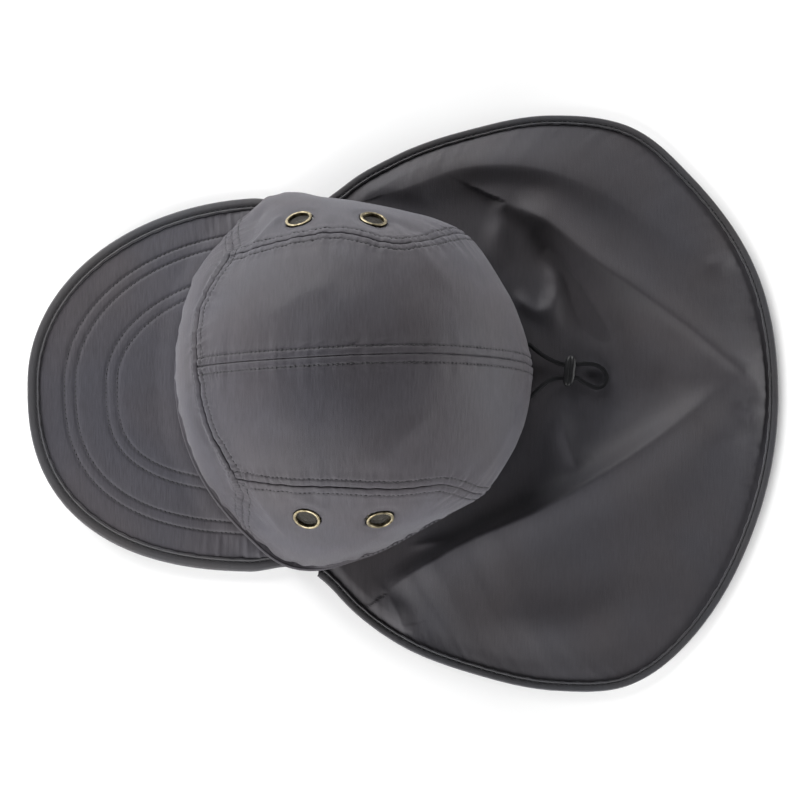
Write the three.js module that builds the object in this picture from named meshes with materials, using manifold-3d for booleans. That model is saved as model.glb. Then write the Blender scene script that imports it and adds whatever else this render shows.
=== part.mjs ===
// A hiking cap with a neck flap, lying on a table with the flap spread out behind it.
// Five cloth panels make a hollow crown. A stiff peak is sewn to its front, and a soft flap to its back half.
// Bias tape binds the edges of the peak and the flap. Four vent eyelets with mesh screens sit in the side panels,
// and an elastic cord comes out of two small eyelets at the back, through a two-hole cord lock.
// Millimetres, +Z up, the peak points to -X, and the wearer's right is +Y.
import * as THREE from "three";
import { mergeVertices } from "three/addons/utils/BufferGeometryUtils.js";
import Module from "manifold-3d";

const wasm = await Module();
wasm.setup();

// Driving sizes of the crown
const crownReach = 90; // from the crown's centre to its rim at the front
const crownHeight = 107; // top of the crown above the table
const crownWall = 1.3;
const crownSquareness = 2.15; // 2 is an ellipse from rim to top, more is boxier
const crownLean = 2.4; // how far the soft top leans towards +Y
const hemWidth = 2.2;
const hemHeight = 1.8;

// Driving sizes of the peak
const peakLength = 119.8; // from the peak's widest line to its tip
const peakHalfWidth = 94;
const peakSetForward = 42.5; // from the crown's centre to the peak's widest line
const peakThickness = 2.3;
const peakArch = 11; // how far the middle of the peak stands above its sides
const peakTuck = 5; // how far the peak reaches in under the rim
const peakTail = 10; // how far the ends of the peak run back past its widest line
const peakFrom = 109; // the angles at which the peak starts and ends under the rim
const peakTo = 253;
const peakFullness = { right: 2.0, left: 2.5 }; // exponent of each half's outline, 2 is an ellipse

// Driving sizes of the neck flap
const flapReach = 211.5; // from the crown's centre to the flap's far edge
const flapThickness = 1.2;
const flapTuck = 4; // how far the flap reaches in under the rim
const flapFrom = -101; // the angles at which the flap starts and ends on the rim
const flapTo = 100;
const flapSink = 60; // how far out the flap has come down from the hem to the table
const foldHeight = 20; // height that the table of folds takes its shares of
const foldStart = 16; // folds rise to their full height this far out from the rim
const foldStop = 26; // and come down over this distance before the tape

// Driving sizes of the tape, eyelets, cord and cord lock
const tapeThickness = 0.6;
const tapeWidth = 4.8;
const eyeletRadius = 6.7;
const eyeletBore = 4.9;
const eyeletFlange = 0.8;
const eyeletWall = 0.4;
const screenThickness = 0.6;
const cordRadius = 1.1;
const cordEyeletRadius = 3.2;
const cordEyeletFlange = 0.6;
const lockLength = 15.5;
const lockHeight = 5.6;
const lockDepth = 6.2;
const lockHoleSpacing = 6.8;
const lockBevel = 0.9;

const fitGap = 0.3; // between pieces that touch
const seamGap = 0.8; // between cloth panels that are sewn together

// Rim seen from above: how far it lies from the crown's centre, as a share of crownReach
const rimTable = [
  { angle: -160, reach: 1.0 },
  { angle: -140, reach: 1.02 },
  { angle: -125, reach: 1.05 },
  { angle: -112, reach: 1.094 },
  { angle: -102, reach: 1.074 },
  { angle: -88, reach: 0.983 },
  { angle: -65, reach: 0.895 },
  { angle: -40, reach: 0.922 },
  { angle: -15, reach: 0.948 },
  { angle: 10, reach: 0.953 },
  { angle: 40, reach: 0.965 },
  { angle: 65, reach: 0.955 },
  { angle: 85, reach: 0.976 },
  { angle: 99, reach: 1.036 },
  { angle: 108, reach: 1.115 },
  { angle: 116, reach: 1.14 },
  { angle: 125, reach: 1.1 },
  { angle: 142, reach: 1.06 },
  { angle: 162, reach: 1.015 },
  { angle: 180, reach: 0.995 },
];

// Outline of the flap seen from above, as a share of flapReach
const flapTable = [
  { angle: -110, reach: 0.43 },
  { angle: -98, reach: 0.477 },
  { angle: -90, reach: 0.54 },
  { angle: -80, reach: 0.627 },
  { angle: -68, reach: 0.736 },
  { angle: -57, reach: 0.861 },
  { angle: -48, reach: 0.956 },
  { angle: -38, reach: 0.991 },
  { angle: -20, reach: 1.0 },
  { angle: 0, reach: 1.0 },
  { angle: 16, reach: 0.989 },
  { angle: 32, reach: 0.941 },
  { angle: 43, reach: 0.901 },
  { angle: 54, reach: 0.796 },
  { angle: 66, reach: 0.667 },
  { angle: 80, reach: 0.556 },
  { angle: 90, reach: 0.494 },
  { angle: 96, reach: 0.46 },
  { angle: 108, reach: 0.41 },
];

// Seams, on the crown laid out as a disc: the rim is the circle of radius 1, the top is its centre, and the back is
// at along 1. The front seam runs from rim to rim, the side seams from the front seam to the rim.
const frontSeamTable = [
  { along: -0.588, across: 0.809 },
  { along: -0.55, across: 0.62 },
  { along: -0.515, across: 0.465 },
  { along: -0.62, across: 0.225 },
  { along: -0.602, across: -0.01 },
  { along: -0.565, across: -0.23 },
  { along: -0.46, across: -0.446 },
  { along: -0.51, across: -0.62 },
  { along: -0.582, across: -0.813 },
];
const rightSeamTable = [
  { along: -0.515, across: 0.465 },
  { along: -0.3, across: 0.45 },
  { along: -0.06, across: 0.458 },
  { along: 0.13, across: 0.425 },
  { along: 0.3, across: 0.48 },
  { along: 0.46, across: 0.6 },
  { along: 0.643, across: 0.766 },
];
const leftSeamTable = [
  { along: -0.46, across: -0.446 },
  { along: -0.26, across: -0.446 },
  { along: -0.05, across: -0.45 },
  { along: 0.17, across: -0.466 },
  { along: 0.36, across: -0.462 },
  { along: 0.56, across: -0.545 },
  { along: 0.788, across: -0.616 },
];
const centreSeamTable = [
  { along: -0.602, across: -0.01 },
  { along: -0.2, across: -0.01 },
  { along: 0.35, across: 0.012 },
  { along: 0.999, across: 0.045 },
];

// Soft hollows and swells of the crown: where, how wide on the disc, and how high as a share of crownReach
const crownDents = [
  { along: 0.2, across: 0.5, size: 0.13, depth: -0.04 },
  { along: -0.5, across: 0.5, size: 0.15, depth: -0.03 },
  { along: -0.5, across: -0.55, size: 0.14, depth: -0.03 },
  { along: 0.1, across: -0.2, size: 0.3, depth: -0.012 },
  { along: 0.75, across: 0.0, size: 0.35, depth: 0.04 },
  { along: 0.45, across: 0.65, size: 0.28, depth: 0.035 },
  { along: 0.6, across: -0.5, size: 0.3, depth: 0.035 },
];

// Folds of the flap. Each is a ridge on a bent line from..via..to, where angle is in degrees about the crown's
// centre, and out is 0 at the rim and 1 at the edge. Its height is a share of foldHeight. Widths are in shares of
// flapReach: near is the side towards the crown's back, far the other side.
const foldTable = [
  { from: [62, 0.22], via: [25, 0.5], to: [0, 0.97], height: 0.8, near: 0.085, far: 0.2 },
  { from: [-86, 0.8], via: [-50, 0.42], to: [-4, 0.75], height: 0.95, near: 0.075, far: 0.24 },
  { from: [88, 0.35], via: [62, 0.72], to: [36, 0.85], height: 0.45, near: 0.1, far: 0.09 },
  { from: [50, 0.12], via: [38, 0.3], to: [22, 0.42], height: 0.4, near: 0.05, far: 0.05 },
  { from: [30, 0.08], via: [24, 0.2], to: [33, 0.36], height: 0.4, near: 0.035, far: 0.035 },
  { from: [-8, 0.06], via: [-15, 0.2], to: [-20, 0.36], height: 0.4, near: 0.04, far: 0.035 },
  { from: [-60, 0.5], via: [-45, 0.66], to: [-25, 0.8], height: 0.2, near: 0.12, far: 0.12 },
];

// Cord's centreline: out of the right eyelet, through the lock, round the loop, back through the lock and in again
const cordRoute = [
  [80.2, 18.0, 10.5],
  [82.4, 18.45, 10.5],
  [84.8, 18.9, 10.4],
  [87.0, 18.5, 10.2],
  [89.3, 16.7, 9.7],
  [92.0, 14.6, 9.0],
  [95.5, 12.4, 8.2],
  [99.5, 10.5, 7.4],
  [103.4, 9.2, 6.8],
  [107.0, 9.2, 6.7],
  [110.6, 9.2, 6.6],
  [115.5, 9.6, 5.9],
  [120.5, 8.9, 5.0],
  [124.2, 6.4, 4.4],
  [125.6, 2.8, 4.3],
  [124.2, -0.8, 4.4],
  [120.4, -2.3, 4.9],
  [115.3, -0.4, 5.8],
  [110.6, 2.4, 6.6],
  [107.0, 2.4, 6.7],
  [103.4, 2.4, 6.8],
  [98.6, 1.8, 7.5],
  [94.2, -0.9, 8.5],
  [90.6, -4.4, 9.5],
  [88.0, -6.9, 10.2],
  [85.6, -7.48, 10.35],
  [83.2, -7.2, 10.4],
  [81.3, -7.0, 10.45],
];
const lockAt = new THREE.Vector3(107, 5.8, 6.7);

// Where the cord's eyelets sit on the disc
const cordEyeletAt = {
  right: { along: 0.957, across: 0.213 },
  left: { along: 0.977, across: -0.086 },
};

// Heights that follow from the sizes
const peakSlot = peakThickness + 2 * fitGap;
const peakTapeHeight = peakSlot + 2 * tapeThickness;
const flapSlot = flapThickness + 2 * fitGap;
const flapTapeHeight = flapSlot + 2 * tapeThickness;
const hemBase = Math.max(peakTapeHeight, flapTapeHeight) + fitGap;
const rimBase = hemBase + hemHeight + fitGap;
const cordEyeletBore = cordRadius + fitGap;
const lockHoleRadius = cordRadius + fitGap;
const edgeInset = tapeThickness + fitGap;

const mix = (a, b, t) => a + (b - a) * t;
const clamp = (t) => Math.min(1, Math.max(0, t));
const smooth = (from, to, t) => {
  const s = clamp((t - from) / (to - from));
  return s * s * (3 - 2 * s);
};
const radians = THREE.MathUtils.degToRad;

// Reads a table of angles at any angle, along a smooth curve through its rows
function readTable(table, degrees, closed) {
  const n = table.length;
  const row = (i) => {
    if (!closed) return table[Math.min(n - 1, Math.max(0, i))];
    const turn = Math.floor(i / n);
    const { angle, reach } = table[i - turn * n];
    return { angle: angle + 360 * turn, reach };
  };
  let at = degrees;
  if (closed) at = ((((degrees - table[0].angle) % 360) + 360) % 360) + table[0].angle;
  let i = 0;
  while (i < n - (closed ? 1 : 2) && row(i + 1).angle <= at) i += 1;
  const [a, b, c, d] = [row(i - 1), row(i), row(i + 1), row(i + 2)];
  const step = c.angle - b.angle;
  const t = (at - b.angle) / step;
  const slope = (p, q) => (q.angle === p.angle ? 0 : (q.reach - p.reach) / (q.angle - p.angle));
  const leave = slope(a, c) * step;
  const arrive = slope(b, d) * step;
  const t2 = t * t;
  const t3 = t2 * t;
  return (
    (2 * t3 - 3 * t2 + 1) * b.reach + (t3 - 2 * t2 + t) * leave + (3 * t2 - 2 * t3) * c.reach + (t3 - t2) * arrive
  );
}

const rimRadius = (degrees) => crownReach * readTable(rimTable, degrees, true);

// How far the arch of the peak lifts what lies at x, y
function archAt(x, y) {
  const share = clamp(1 - (y / peakHalfWidth) ** 2);
  return peakArch * share * smooth(0.3 * crownReach, 0.6 * crownReach, -x);
}

// The crown's surface at a point of the disc
function crownSurface(along, across) {
  const out = Math.hypot(along, across);
  const angle = Math.atan2(across, along);
  const degrees = THREE.MathUtils.radToDeg(angle);
  const power = 2 / crownSquareness;
  const spread = Math.sin(Math.min(out, 1) * (Math.PI / 2)) ** power;
  const rise = Math.max(0, Math.cos(Math.min(out, 1) * (Math.PI / 2))) ** power;
  const rim = rimRadius(degrees);
  const round = crownReach * mix(1.0, 0.965, (1 + Math.cos(angle)) / 2);
  let reach = mix(round, rim, smooth(0.5, 1, out)) * spread;
  for (const dent of crownDents) {
    const away = Math.hypot(along - dent.along, across - dent.across) / dent.size;
    reach += crownReach * dent.depth * Math.exp(-away * away) * smooth(1.02, 0.8, out);
  }
  const rimX = rim * Math.cos(angle);
  const rimY = rim * Math.sin(angle);
  const foot = rimBase + archAt(rimX, rimY);
  return new THREE.Vector3(
    reach * Math.cos(angle),
    reach * Math.sin(angle) + crownLean * rise,
    foot + (crownHeight - foot) * rise,
  );
}

// The crown's outward normal, from its slopes on the disc
function crownNormal(along, across) {
  const step = 0.004;
  const out = Math.hypot(along, across);
  const keep = Math.min(1, (1 - 1.5 * step) / Math.max(out, 1e-6));
  const [a, b] = [along * keep, across * keep];
  const slopeA = crownSurface(a + step, b).sub(crownSurface(a - step, b));
  const slopeB = crownSurface(a, b + step).sub(crownSurface(a, b - step));
  return slopeA.cross(slopeB).normalize();
}

const onCrown = (along, across, lift) =>
  crownSurface(along, across).addScaledVector(crownNormal(along, across), lift);

// Curves on the disc
const disc = (x, y) => new THREE.Vector2(x, y);
const seam = (table) => {
  const curve = new THREE.SplineCurve(table.map((row) => disc(row.along, row.across)));
  return (t) => curve.getPoint(clamp(t));
};
const rimArc = (fromDegrees, toDegrees) => (t) => {
  const angle = radians(mix(fromDegrees, toDegrees, t));
  return disc(Math.cos(angle), Math.sin(angle));
};
const stretch = (curve, from, to) => (t) => curve(mix(from, to, t));
const angleOf = (row) => THREE.MathUtils.radToDeg(Math.atan2(row.across, row.along));

// A four-sided patch between curves: low and high run along u, start and end along v
function coons(low, high, start, end) {
  const corners = [low(0), low(1), high(0), high(1)];
  return (u, v) => {
    const ruled = (a, b, t) => a.clone().multiplyScalar(1 - t).addScaledVector(b, t);
    const across = ruled(low(u), high(u), v);
    const along = ruled(start(v), end(v), u);
    const flat = ruled(ruled(corners[0], corners[1], u), ruled(corners[2], corners[3], u), v);
    return across.add(along).sub(flat);
  };
}

// Turns a closed geometry's faces outwards
function facingOut(points, faces) {
  const at = (i) => new THREE.Vector3(points[3 * i], points[3 * i + 1], points[3 * i + 2]);
  let volume = 0;
  for (let i = 0; i < faces.length; i += 3)
    volume += at(faces[i]).dot(at(faces[i + 1]).cross(at(faces[i + 2])));
  if (volume < 0)
    for (let i = 0; i < faces.length; i += 3) [faces[i], faces[i + 1]] = [faces[i + 1], faces[i]];
  return new THREE.BufferGeometry()
    .setAttribute("position", new THREE.Float32BufferAttribute(points, 3))
    .setIndex(faces);
}

// A closed shell between two surfaces of u and v, on a grid of columns along u and rows along v
function shell(columns, rows, outer, inner) {
  const points = [];
  const faces = [];
  const at = (layer, i, j) => (layer * (columns + 1) + i) * (rows + 1) + j;
  const quad = (a, b, c, d) => faces.push(a, b, c, a, c, d);
  for (const surface of [outer, inner])
    for (let i = 0; i <= columns; i += 1)
      for (let j = 0; j <= rows; j += 1) points.push(...surface(i / columns, j / rows).toArray());
  for (let i = 0; i < columns; i += 1)
    for (let j = 0; j < rows; j += 1) {
      quad(at(0, i, j), at(0, i + 1, j), at(0, i + 1, j + 1), at(0, i, j + 1));
      quad(at(1, i, j), at(1, i, j + 1), at(1, i + 1, j + 1), at(1, i + 1, j));
    }
  for (let i = 0; i < columns; i += 1) {
    quad(at(0, i + 1, 0), at(0, i, 0), at(1, i, 0), at(1, i + 1, 0));
    quad(at(0, i, rows), at(0, i + 1, rows), at(1, i + 1, rows), at(1, i, rows));
  }
  for (let j = 0; j < rows; j += 1) {
    quad(at(0, 0, j), at(0, 0, j + 1), at(1, 0, j + 1), at(1, 0, j));
    quad(at(0, columns, j + 1), at(0, columns, j), at(1, columns, j), at(1, columns, j + 1));
  }
  return facingOut(points, faces);
}

// A solid of one section swept from station to station. place(t) gives a function from the section's own two
// coordinates to a point. A closed sweep ends where it starts.
function sweep(section, steps, place, closed = false) {
  const size = section.length;
  const count = closed ? steps : steps + 1;
  const points = [];
  const faces = [];
  for (let i = 0; i < count; i += 1) {
    const toPoint = place(i / steps);
    for (const [x, y] of section) points.push(...toPoint(x, y).toArray());
  }
  for (let i = 0; i < steps; i += 1)
    for (let j = 0; j < size; j += 1) {
      const here = i * size;
      const next = ((i + 1) % count) * size;
      const k = (j + 1) % size;
      faces.push(here + j, here + k, next + k, here + j, next + k, next + j);
    }
  if (!closed) {
    const outline = section.map(([x, y]) => new THREE.Vector2(x, y));
    const last = (count - 1) * size;
    const clockwise = THREE.ShapeUtils.isClockWise(outline);
    for (const [a, b, c] of THREE.ShapeUtils.triangulateShape(outline, [])) {
      const turned = clockwise ? [a, b, c] : [a, c, b];
      faces.push(...turned);
      faces.push(last + turned[0], last + turned[2], last + turned[1]);
    }
  }
  return facingOut(points, faces);
}

// manifold-3d joins and cuts closed geometries
const solidOf = (geometry) => {
  const bare = new THREE.BufferGeometry().setAttribute("position", geometry.getAttribute("position"));
  bare.setIndex(geometry.index);
  const merged = mergeVertices(bare, 1e-4);
  const vertProperties = merged.attributes.position.array;
  const triVerts = new Uint32Array(merged.index.array);
  return new wasm.Manifold(new wasm.Mesh({ numProp: 3, vertProperties, triVerts }));
};
const geometryOf = (solid) => {
  const { vertProperties, triVerts } = solid.getMesh();
  return new THREE.BufferGeometry()
    .setAttribute("position", new THREE.BufferAttribute(vertProperties, 3))
    .setIndex(new THREE.BufferAttribute(triVerts, 1));
};
const cut = (geometry, tools) =>
  geometryOf(tools.reduce((solid, tool) => solid.subtract(solidOf(tool)), solidOf(geometry)));

const material = (colour, roughness, metalness = 0) =>
  new THREE.MeshStandardMaterial({ color: colour, roughness, metalness });
const crownCloth = material(0x615f64, 0.75);
const flapCloth = material(0x57545a, 0.75);
const tapeCloth = material(0x4b4a4e, 0.7);
const brass = material(0x8c8468, 0.35, 0.9);
const screenCloth = material(0x3b3835, 0.6);
const elastic = material(0x17181b, 0.6);
const plastic = material(0x101114, 0.3);

const cap = new THREE.Group();
const looseOnFlap = new THREE.Group();
function add(group, name, geometry, finish) {
  const mesh = new THREE.Mesh(geometry, finish);
  mesh.name = name;
  group.add(mesh);
  return mesh;
}

// Eyelets: a tube through the cloth with a flange on both faces, and the hole that it needs
const vent = { radius: eyeletRadius, bore: eyeletBore, flange: eyeletFlange, sides: 16 };
const cordHole = { radius: cordEyeletRadius, bore: cordEyeletBore, flange: cordEyeletFlange, sides: 12 };

function eyeletGeometry({ radius, bore, flange, sides }) {
  const barrel = bore + eyeletWall;
  const above = fitGap;
  const below = -crownWall - fitGap - radius ** 2 / crownReach;
  const profile = [
    [bore, below - flange],
    [radius, below - flange],
    [radius, below],
    [barrel, below],
    [barrel, above],
    [radius, above],
    [radius, above + flange],
    [bore, above + flange],
    [bore, below - flange],
  ];
  return new THREE.LatheGeometry(profile.map(([r, y]) => new THREE.Vector2(r, y)), sides);
}

function placedOnCrown(geometry, { along, across }) {
  const turn = new THREE.Quaternion().setFromUnitVectors(
    new THREE.Vector3(0, 1, 0),
    crownNormal(along, across),
  );
  return geometry.applyQuaternion(turn).translate(...crownSurface(along, across).toArray());
}

function holeGeometry({ bore, radius, sides }) {
  const hole = bore + eyeletWall + fitGap;
  return new THREE.CylinderGeometry(hole, hole, 2 * radius, sides);
}

// Crown panels, each between four curves on the disc
const frontSeam = seam(frontSeamTable);
const rightSeam = seam(rightSeamTable);
const leftSeam = seam(leftSeamTable);
const centreSeam = seam(centreSeamTable);
const rightFrontAngle = angleOf(frontSeamTable[0]);
const leftFrontAngle = angleOf(frontSeamTable.at(-1));
const rightBackAngle = angleOf(rightSeamTable.at(-1));
const leftBackAngle = angleOf(leftSeamTable.at(-1));
const centreBackAngle = angleOf(centreSeamTable.at(-1));
const rightJoint = 2 / 8; // where along the front seam the side and centre seams meet it
const centreJoint = 4 / 8;
const leftJoint = 6 / 8;
const frontTaper = 1 / 8; // share of the front seam that closes each end of the front panel
const sideTaper = 7 / 8; // share of a side seam that bounds the side panel before its back end

const panels = [
  {
    name: "crown_front",
    columns: 24,
    rows: 4,
    patch: coons(
      rimArc(rightFrontAngle, leftFrontAngle + 360),
      stretch(frontSeam, frontTaper, 1 - frontTaper),
      stretch(frontSeam, 0, frontTaper),
      stretch(frontSeam, 1, 1 - frontTaper),
    ),
  },
  {
    name: "crown_side_right",
    columns: 14,
    rows: 8,
    patch: coons(
      rimArc(rightFrontAngle, rightBackAngle),
      stretch(rightSeam, 0, sideTaper),
      stretch(frontSeam, 0, rightJoint),
      stretch(rightSeam, 1, sideTaper),
    ),
    eyelets: [
      { name: "right_front", along: -0.212, across: 0.574, kind: vent },
      { name: "right_rear", along: 0.08, across: 0.578, kind: vent },
    ],
  },
  {
    name: "crown_side_left",
    columns: 14,
    rows: 8,
    patch: coons(
      rimArc(leftFrontAngle, leftBackAngle),
      stretch(leftSeam, 0, sideTaper),
      stretch(frontSeam, 1, leftJoint),
      stretch(leftSeam, 1, sideTaper),
    ),
    eyelets: [
      { name: "left_front", along: -0.179, across: -0.598, kind: vent },
      { name: "left_rear", along: 0.11, across: -0.62, kind: vent },
    ],
  },
  {
    name: "crown_top_right",
    columns: 16,
    rows: 8,
    patch: coons(
      centreSeam,
      rightSeam,
      stretch(frontSeam, centreJoint, rightJoint),
      rimArc(centreBackAngle, rightBackAngle),
    ),
    eyelets: [{ name: "cord_right", ...cordEyeletAt.right, kind: cordHole }],
  },
  {
    name: "crown_top_left",
    columns: 16,
    rows: 8,
    patch: coons(
      centreSeam,
      leftSeam,
      stretch(frontSeam, centreJoint, leftJoint),
      rimArc(centreBackAngle, leftBackAngle),
    ),
    eyelets: [{ name: "cord_left", ...cordEyeletAt.left, kind: cordHole }],
  },
];

// Length of a panel's line of constant u or v on the crown, to turn half a seam gap into a share of it
function lineLength(patch, fixed, alongU) {
  const steps = 12;
  let length = 0;
  let last = null;
  for (let i = 0; i <= steps; i += 1) {
    const at = alongU ? patch(i / steps, fixed) : patch(fixed, i / steps);
    const point = crownSurface(at.x, at.y);
    if (last) length += point.distanceTo(last);
    last = point;
  }
  return length;
}

for (const { name, columns, rows, patch, eyelets = [] } of panels) {
  const edgeU = seamGap / 2 / lineLength(patch, 0.5, true);
  const edgeV = (u) => seamGap / 2 / lineLength(patch, u, false);
  const at = (u, v) => {
    const x = mix(edgeU, 1 - edgeU, u);
    const y = mix(edgeV(x), 1 - edgeV(x), v);
    return patch(x, y);
  };
  const surface = (lift) => (u, v) => {
    const point = at(u, v);
    return onCrown(point.x, point.y, lift);
  };
  let geometry = shell(columns, rows, surface(0), surface(-crownWall));
  const holes = eyelets.map((eyelet) => placedOnCrown(holeGeometry(eyelet.kind), eyelet));
  if (holes.length) geometry = cut(geometry, holes);
  add(cap, name, geometry, crownCloth);
  for (const eyelet of eyelets) {
    add(cap, "eyelet_" + eyelet.name, placedOnCrown(eyeletGeometry(eyelet.kind), eyelet), brass);
    if (eyelet.kind !== vent) continue;
    const screen = new THREE.CylinderGeometry(
      eyeletBore - fitGap,
      eyeletBore - fitGap,
      screenThickness,
      vent.sides,
    );
    screen.translate(0, -crownWall / 2, 0);
    add(cap, "screen_" + eyelet.name, placedOnCrown(screen, eyelet), screenCloth);
  }
}

// Hem: the folded lower edge of the crown, a ring under its panels
const hemSection = [30, 90, 150, 210, 270, 330].map((degrees) => [
  (hemWidth / 2) * Math.cos(radians(degrees)),
  (hemHeight / 2) * Math.sin(radians(degrees)),
]);
const hemPlace = (t) => (x, z) => {
  const degrees = 360 * t;
  const radius = rimRadius(degrees) - crownWall / 2;
  const at = new THREE.Vector3(Math.cos(radians(degrees)), Math.sin(radians(degrees)), 0);
  at.multiplyScalar(radius + x);
  at.z = hemBase + hemHeight / 2 + z + archAt(at.x, at.y);
  return at;
};
add(cap, "crown_hem", sweep(hemSection, 48, hemPlace, true), crownCloth);

// Channel section of a tape folded over an edge: across from the outside in, and up
function tapeSection(height, slot) {
  const [half, gap] = [height / 2, slot / 2];
  return [
    [0, -half],
    [tapeWidth, -half],
    [tapeWidth, -gap],
    [tapeThickness, -gap],
    [tapeThickness, gap],
    [tapeWidth, gap],
    [tapeWidth, half],
    [0, half],
  ];
}

// An outline with its inward normals: outline(t) gives a point, inset(t, distance) a point that far inside it
function withInset(outline) {
  const step = 1e-3;
  return (t, distance) => {
    const along = outline(t + step).sub(outline(t - step)).normalize();
    const [x, y] = [-along.y, along.x];
    return outline(t).addScaledVector(disc(x, y), distance);
  };
}

// A line across a plate, from its rear edge under the hem to the edge that the tape holds. The last of its rows is
// the flat stretch in the tape. The share of the line is given with the distances from the rim and from the tape.
function acrossPlate(rear, edge, v, rows, tuck) {
  const length = rear.distanceTo(edge);
  const flat = Math.min(tapeWidth / length, 1 / 2);
  const last = 1 - 1 / rows;
  const share = v < last ? (v / last) * (1 - flat) : mix(1 - flat, 1, (v - last) * rows);
  return { share, pastRim: share * length - tuck, pastTape: (1 - share - flat) * length };
}

// Height of a plate's middle: in the tape's slot at its edge, and close under the hem at its rear
function plateHeight(tapeHeight, thickness, sink, { pastRim, pastTape }) {
  const underHem = hemBase - fitGap - thickness / 2;
  return mix(tapeHeight / 2, underHem, smooth(sink, 0, pastRim) * smooth(0, 2 * tapeWidth, pastTape));
}

// Peak: from the right end of its outline round the tip to the left end
const tailShare = 0.04; // share of the outline's steps on each straight end
const peakOutline = (t) => {
  const turn = clamp((t - tailShare) / (1 - 2 * tailShare));
  const past = (Math.max(0, tailShare - t, t - 1 + tailShare) / tailShare) * peakTail;
  const power = 2 / (turn < 0.5 ? peakFullness.right : peakFullness.left);
  const c = Math.sin(Math.PI * turn);
  const s = Math.cos(Math.PI * turn);
  return disc(past - peakSetForward - peakLength * c ** power, peakHalfWidth * Math.sign(s) * Math.abs(s) ** power);
};
const peakInset = withInset(peakOutline);
const peakRear = (t) => {
  const degrees = mix(peakFrom, peakTo, t);
  const radius = rimRadius(degrees) - peakTuck;
  return disc(radius * Math.cos(radians(degrees)), radius * Math.sin(radians(degrees)));
};
const peakSteps = 36;
const peakRows = 6;
const peakSurface = (up) => (u, v) => {
  const rear = peakRear(u);
  const edge = peakInset(u, edgeInset);
  const line = acrossPlate(rear, edge, v, peakRows, peakTuck);
  const at = rear.lerp(edge, line.share);
  const base = plateHeight(peakTapeHeight, peakThickness, 2 * peakTuck, line);
  return new THREE.Vector3(at.x, at.y, base + archAt(at.x, at.y) + up);
};
const halfPeak = peakThickness / 2;
add(cap, "peak", shell(peakSteps, peakRows, peakSurface(halfPeak), peakSurface(-halfPeak)), crownCloth);

const peakTape = (t) => (x, z) => {
  const at = peakInset(t, x);
  return new THREE.Vector3(at.x, at.y, peakTapeHeight / 2 + archAt(at.x, at.y) + z);
};
add(cap, "peak_binding", sweep(tapeSection(peakTapeHeight, peakSlot), peakSteps, peakTape), tapeCloth);

// Neck flap
const flapAngle = (t) => mix(flapFrom, flapTo, t);
const flapRadius = (degrees) => flapReach * readTable(flapTable, degrees, false);
const flapOutline = (t) => {
  const angle = radians(flapAngle(t));
  return disc(Math.cos(angle), Math.sin(angle)).multiplyScalar(flapRadius(flapAngle(t)));
};
const flapInset = withInset(flapOutline);

const foldPoint = ([degrees, out]) => {
  const radius = mix(rimRadius(degrees), flapRadius(degrees), out);
  return disc(radius * Math.cos(radians(degrees)), radius * Math.sin(radians(degrees)));
};
const foldSteps = 12;
const folds = foldTable.map(({ from, via, to, height, near, far }) => {
  const [a, b, c] = [from, via, to].map(foldPoint);
  const control = b.clone().multiplyScalar(2).addScaledVector(a, -0.5).addScaledVector(c, -0.5);
  const curve = new THREE.QuadraticBezierCurve(a, control, c);
  const points = curve.getPoints(foldSteps);
  return { points, height: height * foldHeight, near: near * flapReach, far: far * flapReach };
});

// Height of the folds above the flap's base at a point of the plan
function foldsAt(at) {
  let height = 0;
  for (const fold of folds) {
    let best = { distance: Infinity, share: 0, nearSide: true };
    for (let i = 0; i < foldSteps; i += 1) {
      const [a, b] = [fold.points[i], fold.points[i + 1]];
      const line = b.clone().sub(a);
      const t = clamp(at.clone().sub(a).dot(line) / line.lengthSq());
      const foot = a.clone().addScaledVector(line, t);
      const distance = foot.distanceTo(at);
      const side = line.cross(at.clone().sub(foot));
      const crownSide = line.cross(foot.clone().negate());
      if (distance < best.distance)
        best = { distance, share: (i + t) / foldSteps, nearSide: side * crownSide > 0 };
    }
    const width = best.nearSide ? fold.near : fold.far;
    const taper = smooth(-0.1, 0.3, best.share) * smooth(1.1, 0.7, best.share);
    height += fold.height * taper * Math.exp(-((best.distance / width) ** 2));
  }
  return height;
}

const flapEdge = flapTapeHeight / 2;
const halfFlap = flapThickness / 2;
const flapSteps = 48;
const flapRows = 14;
function flapMiddle(u, v) {
  const angle = radians(flapAngle(u));
  const rear = disc(Math.cos(angle), Math.sin(angle)).multiplyScalar(rimRadius(flapAngle(u)) - flapTuck);
  const edge = flapInset(u, edgeInset);
  const line = acrossPlate(rear, edge, v, flapRows, flapTuck);
  const at = rear.lerp(edge, line.share);
  const open = smooth(0, foldStart, line.pastRim) * smooth(0, foldStop, line.pastTape);
  const base = plateHeight(flapTapeHeight, flapThickness, flapSink, line);
  return new THREE.Vector3(at.x, at.y, base + open * foldsAt(at));
}
const flapSurface = (up) => (u, v) => flapMiddle(u, v).add(new THREE.Vector3(0, 0, up));
add(cap, "neck_flap", shell(flapSteps, flapRows, flapSurface(halfFlap), flapSurface(-halfFlap)), flapCloth);

const flapTape = (t) => (x, z) => {
  const at = flapInset(t, x);
  return new THREE.Vector3(at.x, at.y, flapEdge + z);
};
add(cap, "flap_binding", sweep(tapeSection(flapTapeHeight, flapSlot), flapSteps, flapTape), tapeCloth);

// Elastic cord and its two-hole lock, which lie on the flap
const cordPath = new THREE.CatmullRomCurve3(cordRoute.map((point) => new THREE.Vector3(...point)));
const ring = (radius, sides) =>
  Array.from({ length: sides }, (_, i) => {
    const angle = (2 * Math.PI * i) / sides;
    return new THREE.Vector2(radius * Math.cos(angle), radius * Math.sin(angle));
  });
const cordGeometry = new THREE.ExtrudeGeometry(new THREE.Shape(ring(cordRadius, 8)), {
  extrudePath: cordPath,
  steps: 56,
});
add(looseOnFlap, "cord", cordGeometry, elastic);

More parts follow.
